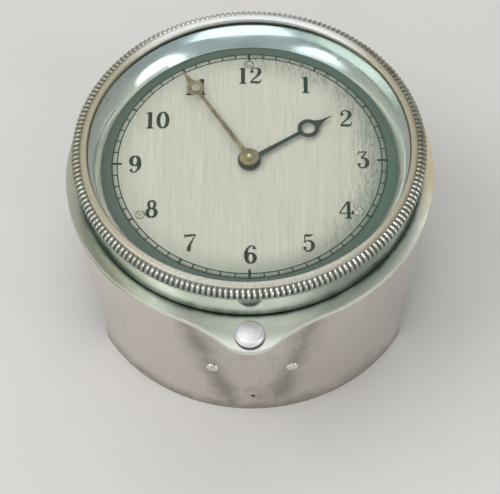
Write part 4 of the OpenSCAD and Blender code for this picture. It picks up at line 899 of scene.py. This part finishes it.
def minute_track():
    """Two circles and their minute marks, engraved and filled."""
    low, high = DIAL_TOP - 0.02, DIAL_TOP + 0.02
    half, slope, drop = 0.15, 0.02, 0.005
    parts = []
    for k, r in enumerate((TRACK_OUT, TRACK_IN)):
        line = [(r - half, low), (r + half, low), (r + half, high - drop), (r + half - slope, high),
                (r - half + slope, high), (r - half, high - drop)]
        parts.append(lathe("track_circle_%d" % k, line, steps=240))
    mid, thick = (low + high) / 2, high - low
    length, middle = TRACK_OUT - TRACK_IN, (TRACK_OUT + TRACK_IN) / 2
    # the longer and wider marks stand a trace higher, so that no two faces lie in one place
    for name, count, size, x in (("minute_marks", 60, (length, 0.34, thick), middle),
                                 ("five_minute_marks", 12, (length, 0.55, thick + 0.004), middle),
                                 ("quarter_marks", 4, (length + 1.4, 0.6, thick + 0.008), middle - 0.4)):
        parts.append(ring_of(bar(name, size, (x, 0, mid), 0.006), count))
    seat(dress(join("minute_track", parts), "wax"), "case", "silvered_dial")


# Strokes of the numerals in a box one high, as (x, y, half width); a ball is a single point
THICK, THIN = 0.098, 0.04
OVAL = [(math.sin(math.radians(a)), math.cos(math.radians(a)), abs(math.sin(math.radians(a))))
        for a in range(0, 360, 30)]


def loop(cx, cy, rx, ry, heavy=THICK):
    """A closed bowl, heavy at its sides and thin above and below."""
    return [(cx + rx * x, cy + ry * y, THIN + (heavy - THIN) * w) for x, y, w in OVAL]


SIX = {"loops": [loop(0.01, -0.2, 0.19, 0.27)],
       "strokes": [[(0.19, 0.40, THIN), (0.07, 0.47, THIN), (-0.1, 0.36, 0.05), (-0.2, 0.1, THICK),
                    (-0.19, -0.2, THICK)]],
       "balls": [(0.18, 0.34, 0.08)]}
DIGITS = {
    "0": {"loops": [loop(0, 0, 0.22, 0.47)]},
    "1": {"strokes": [[(0, -0.47, THICK), (0, 0.49, THICK)], [(0, 0.45, 0.05), (-0.19, 0.41, 0.032)],
                      [(-0.18, -0.47, THIN), (0.18, -0.47, THIN)]]},
    "2": {"strokes": [[(-0.22, 0.29, THIN), (-0.14, 0.43, THIN), (0.01, 0.47, 0.035), (0.17, 0.38, 0.07),
                       (0.19, 0.2, THICK), (0.06, -0.04, 0.055), (-0.14, -0.25, 0.04), (-0.25, -0.43, THIN)],
                      [(-0.26, -0.43, 0.05), (-0.05, -0.41, 0.075), (0.12, -0.43, 0.075), (0.23, -0.37, 0.04),
                       (0.27, -0.24, 0.02)]],
          "balls": [(-0.18, 0.24, 0.085)]},
    "3": {"strokes": [[(-0.2, 0.45, 0.04), (0.2, 0.45, 0.04)], [(-0.19, 0.47, 0.026), (-0.22, 0.28, 0.026)],
                      [(0.19, 0.44, THIN), (-0.06, 0.1, THIN)],
                      [(-0.07, 0.09, THIN), (0.1, 0.08, 0.05), (0.21, -0.08, THICK), (0.2, -0.28, THICK),
                       (0.08, -0.44, 0.045), (-0.06, -0.47, THIN), (-0.2, -0.38, THIN)]],
          "balls": [(-0.18, -0.28, 0.085)]},
    "4": {"strokes": [[(0.11, -0.47, 0.085), (0.11, 0.47, 0.085)],
                      [(0.07, 0.47, 0.045), (-0.31, -0.17, 0.03)],
                      [(-0.33, -0.19, 0.034), (0.3, -0.19, 0.034)],
                      [(-0.05, -0.47, THIN), (0.27, -0.47, THIN)],
                      [(0.29, -0.05, 0.03), (0.3, -0.19, 0.05), (0.29, -0.31, 0.03)]]},
    "5": {"strokes": [[(-0.16, 0.42, 0.07), (0.04, 0.40, 0.065), (0.2, 0.46, 0.025)],
                      [(-0.17, 0.44, 0.028), (-0.19, 0.02, 0.028)],
                      [(-0.19, 0.02, THIN), (-0.02, 0.12, 0.035), (0.16, 0.02, 0.07), (0.2, -0.17, THICK),
                       (0.14, -0.37, 0.065), (-0.02, -0.47, THIN), (-0.19, -0.38, THIN)]],
          "balls": [(-0.18, -0.29, 0.085)]},
    "6": SIX,
    "7": {"strokes": [[(-0.24, 0.41, 0.055), (-0.05, 0.40, 0.07), (0.1, 0.43, 0.06), (0.25, 0.45, 0.035)],
                      [(-0.25, 0.49, 0.024), (-0.25, 0.26, 0.024)],
                      [(0.25, 0.44, 0.025), (0.1, 0.14, 0.04), (0.0, -0.1, 0.06), (-0.05, -0.3, THICK),
                       (-0.05, -0.47, 0.085)]]},
    "8": {"loops": [loop(0, 0.245, 0.15, 0.22, 0.07), loop(0, -0.22, 0.2, 0.25)]},
    "9": {"loops": [[(-x, -y, w) for x, y, w in SIX["loops"][0]]],
          "strokes": [[(-x, -y, w) for x, y, w in SIX["strokes"][0]]],
          "balls": [(-x, -y, w) for x, y, w in SIX["balls"]]},
}


def drawn_stroke(points, closed, sides=3, steps=6):
    """A round stroke of changing width through the points, as a mesh in the points' own units."""
    clear()
    bpy.ops.curve.primitive_bezier_curve_add()
    obj = bpy.context.object
    bpy.ops.object.mode_set(mode="OBJECT")
    curve = obj.data
    curve.dimensions = "3D"
    spline = curve.splines[0]
    spline.bezier_points.add(len(points) - 2)
    spline.use_cyclic_u = closed
    for p, (x, y, half) in zip(spline.bezier_points, points):
        p.co = (x, y, 0)
        p.handle_left_type = p.handle_right_type = "AUTO"
        p.radius = half
    curve.bevel_depth = 1.0
    curve.bevel_resolution = sides
    curve.resolution_u = steps
    curve.use_fill_caps = True
    take(obj)
    bpy.ops.object.convert(target="MESH")
    return bpy.context.object


def numeral(text, place):
    """Digits side by side, centred at place and pressed nearly flat."""
    pitch, relief = 0.62, 0.3
    parts = []
    for k, digit in enumerate(text):
        shift = (k - (len(text) - 1) / 2) * pitch
        made = DIGITS[digit]
        for closed, key in ((True, "loops"), (False, "strokes")):
            for points in made.get(key, []):
                parts.append(drawn_stroke([(x + shift, y, w) for x, y, w in points], closed))
        for x, y, r in made.get("balls", []):
            clear()
            bpy.ops.mesh.primitive_uv_sphere_add(segments=16, ring_count=8, radius=r,
                                                 location=(x + shift, y, 0))
            parts.append(bpy.context.object)
    obj = join("numeral_" + text, parts)
    take(obj)
    bpy.ops.object.transform_apply(location=True, rotation=True, scale=True)
    obj.scale = (NUMERAL_H * MM, NUMERAL_H * MM, relief * MM)
    obj.location = (place[0] * MM, place[1] * MM, DIAL_TOP * MM)
    tidy_mesh(obj, 0.001)
    return settle(obj, 40)


def numerals():
    """The hours one to twelve, upright, engraved and filled."""
    made = [numeral(str(hour), place) for hour, place in NUMERAL_AT.items()]
    seat(dress(join("hour_numerals", made), "wax"), "case", "silvered_dial")


dress_solids()
photograph_camera()
studio()
bezel()
reflector()
flange()
button()
rivets()
dial_screws()
hands()
lever_leaf()
minute_track()
numerals()
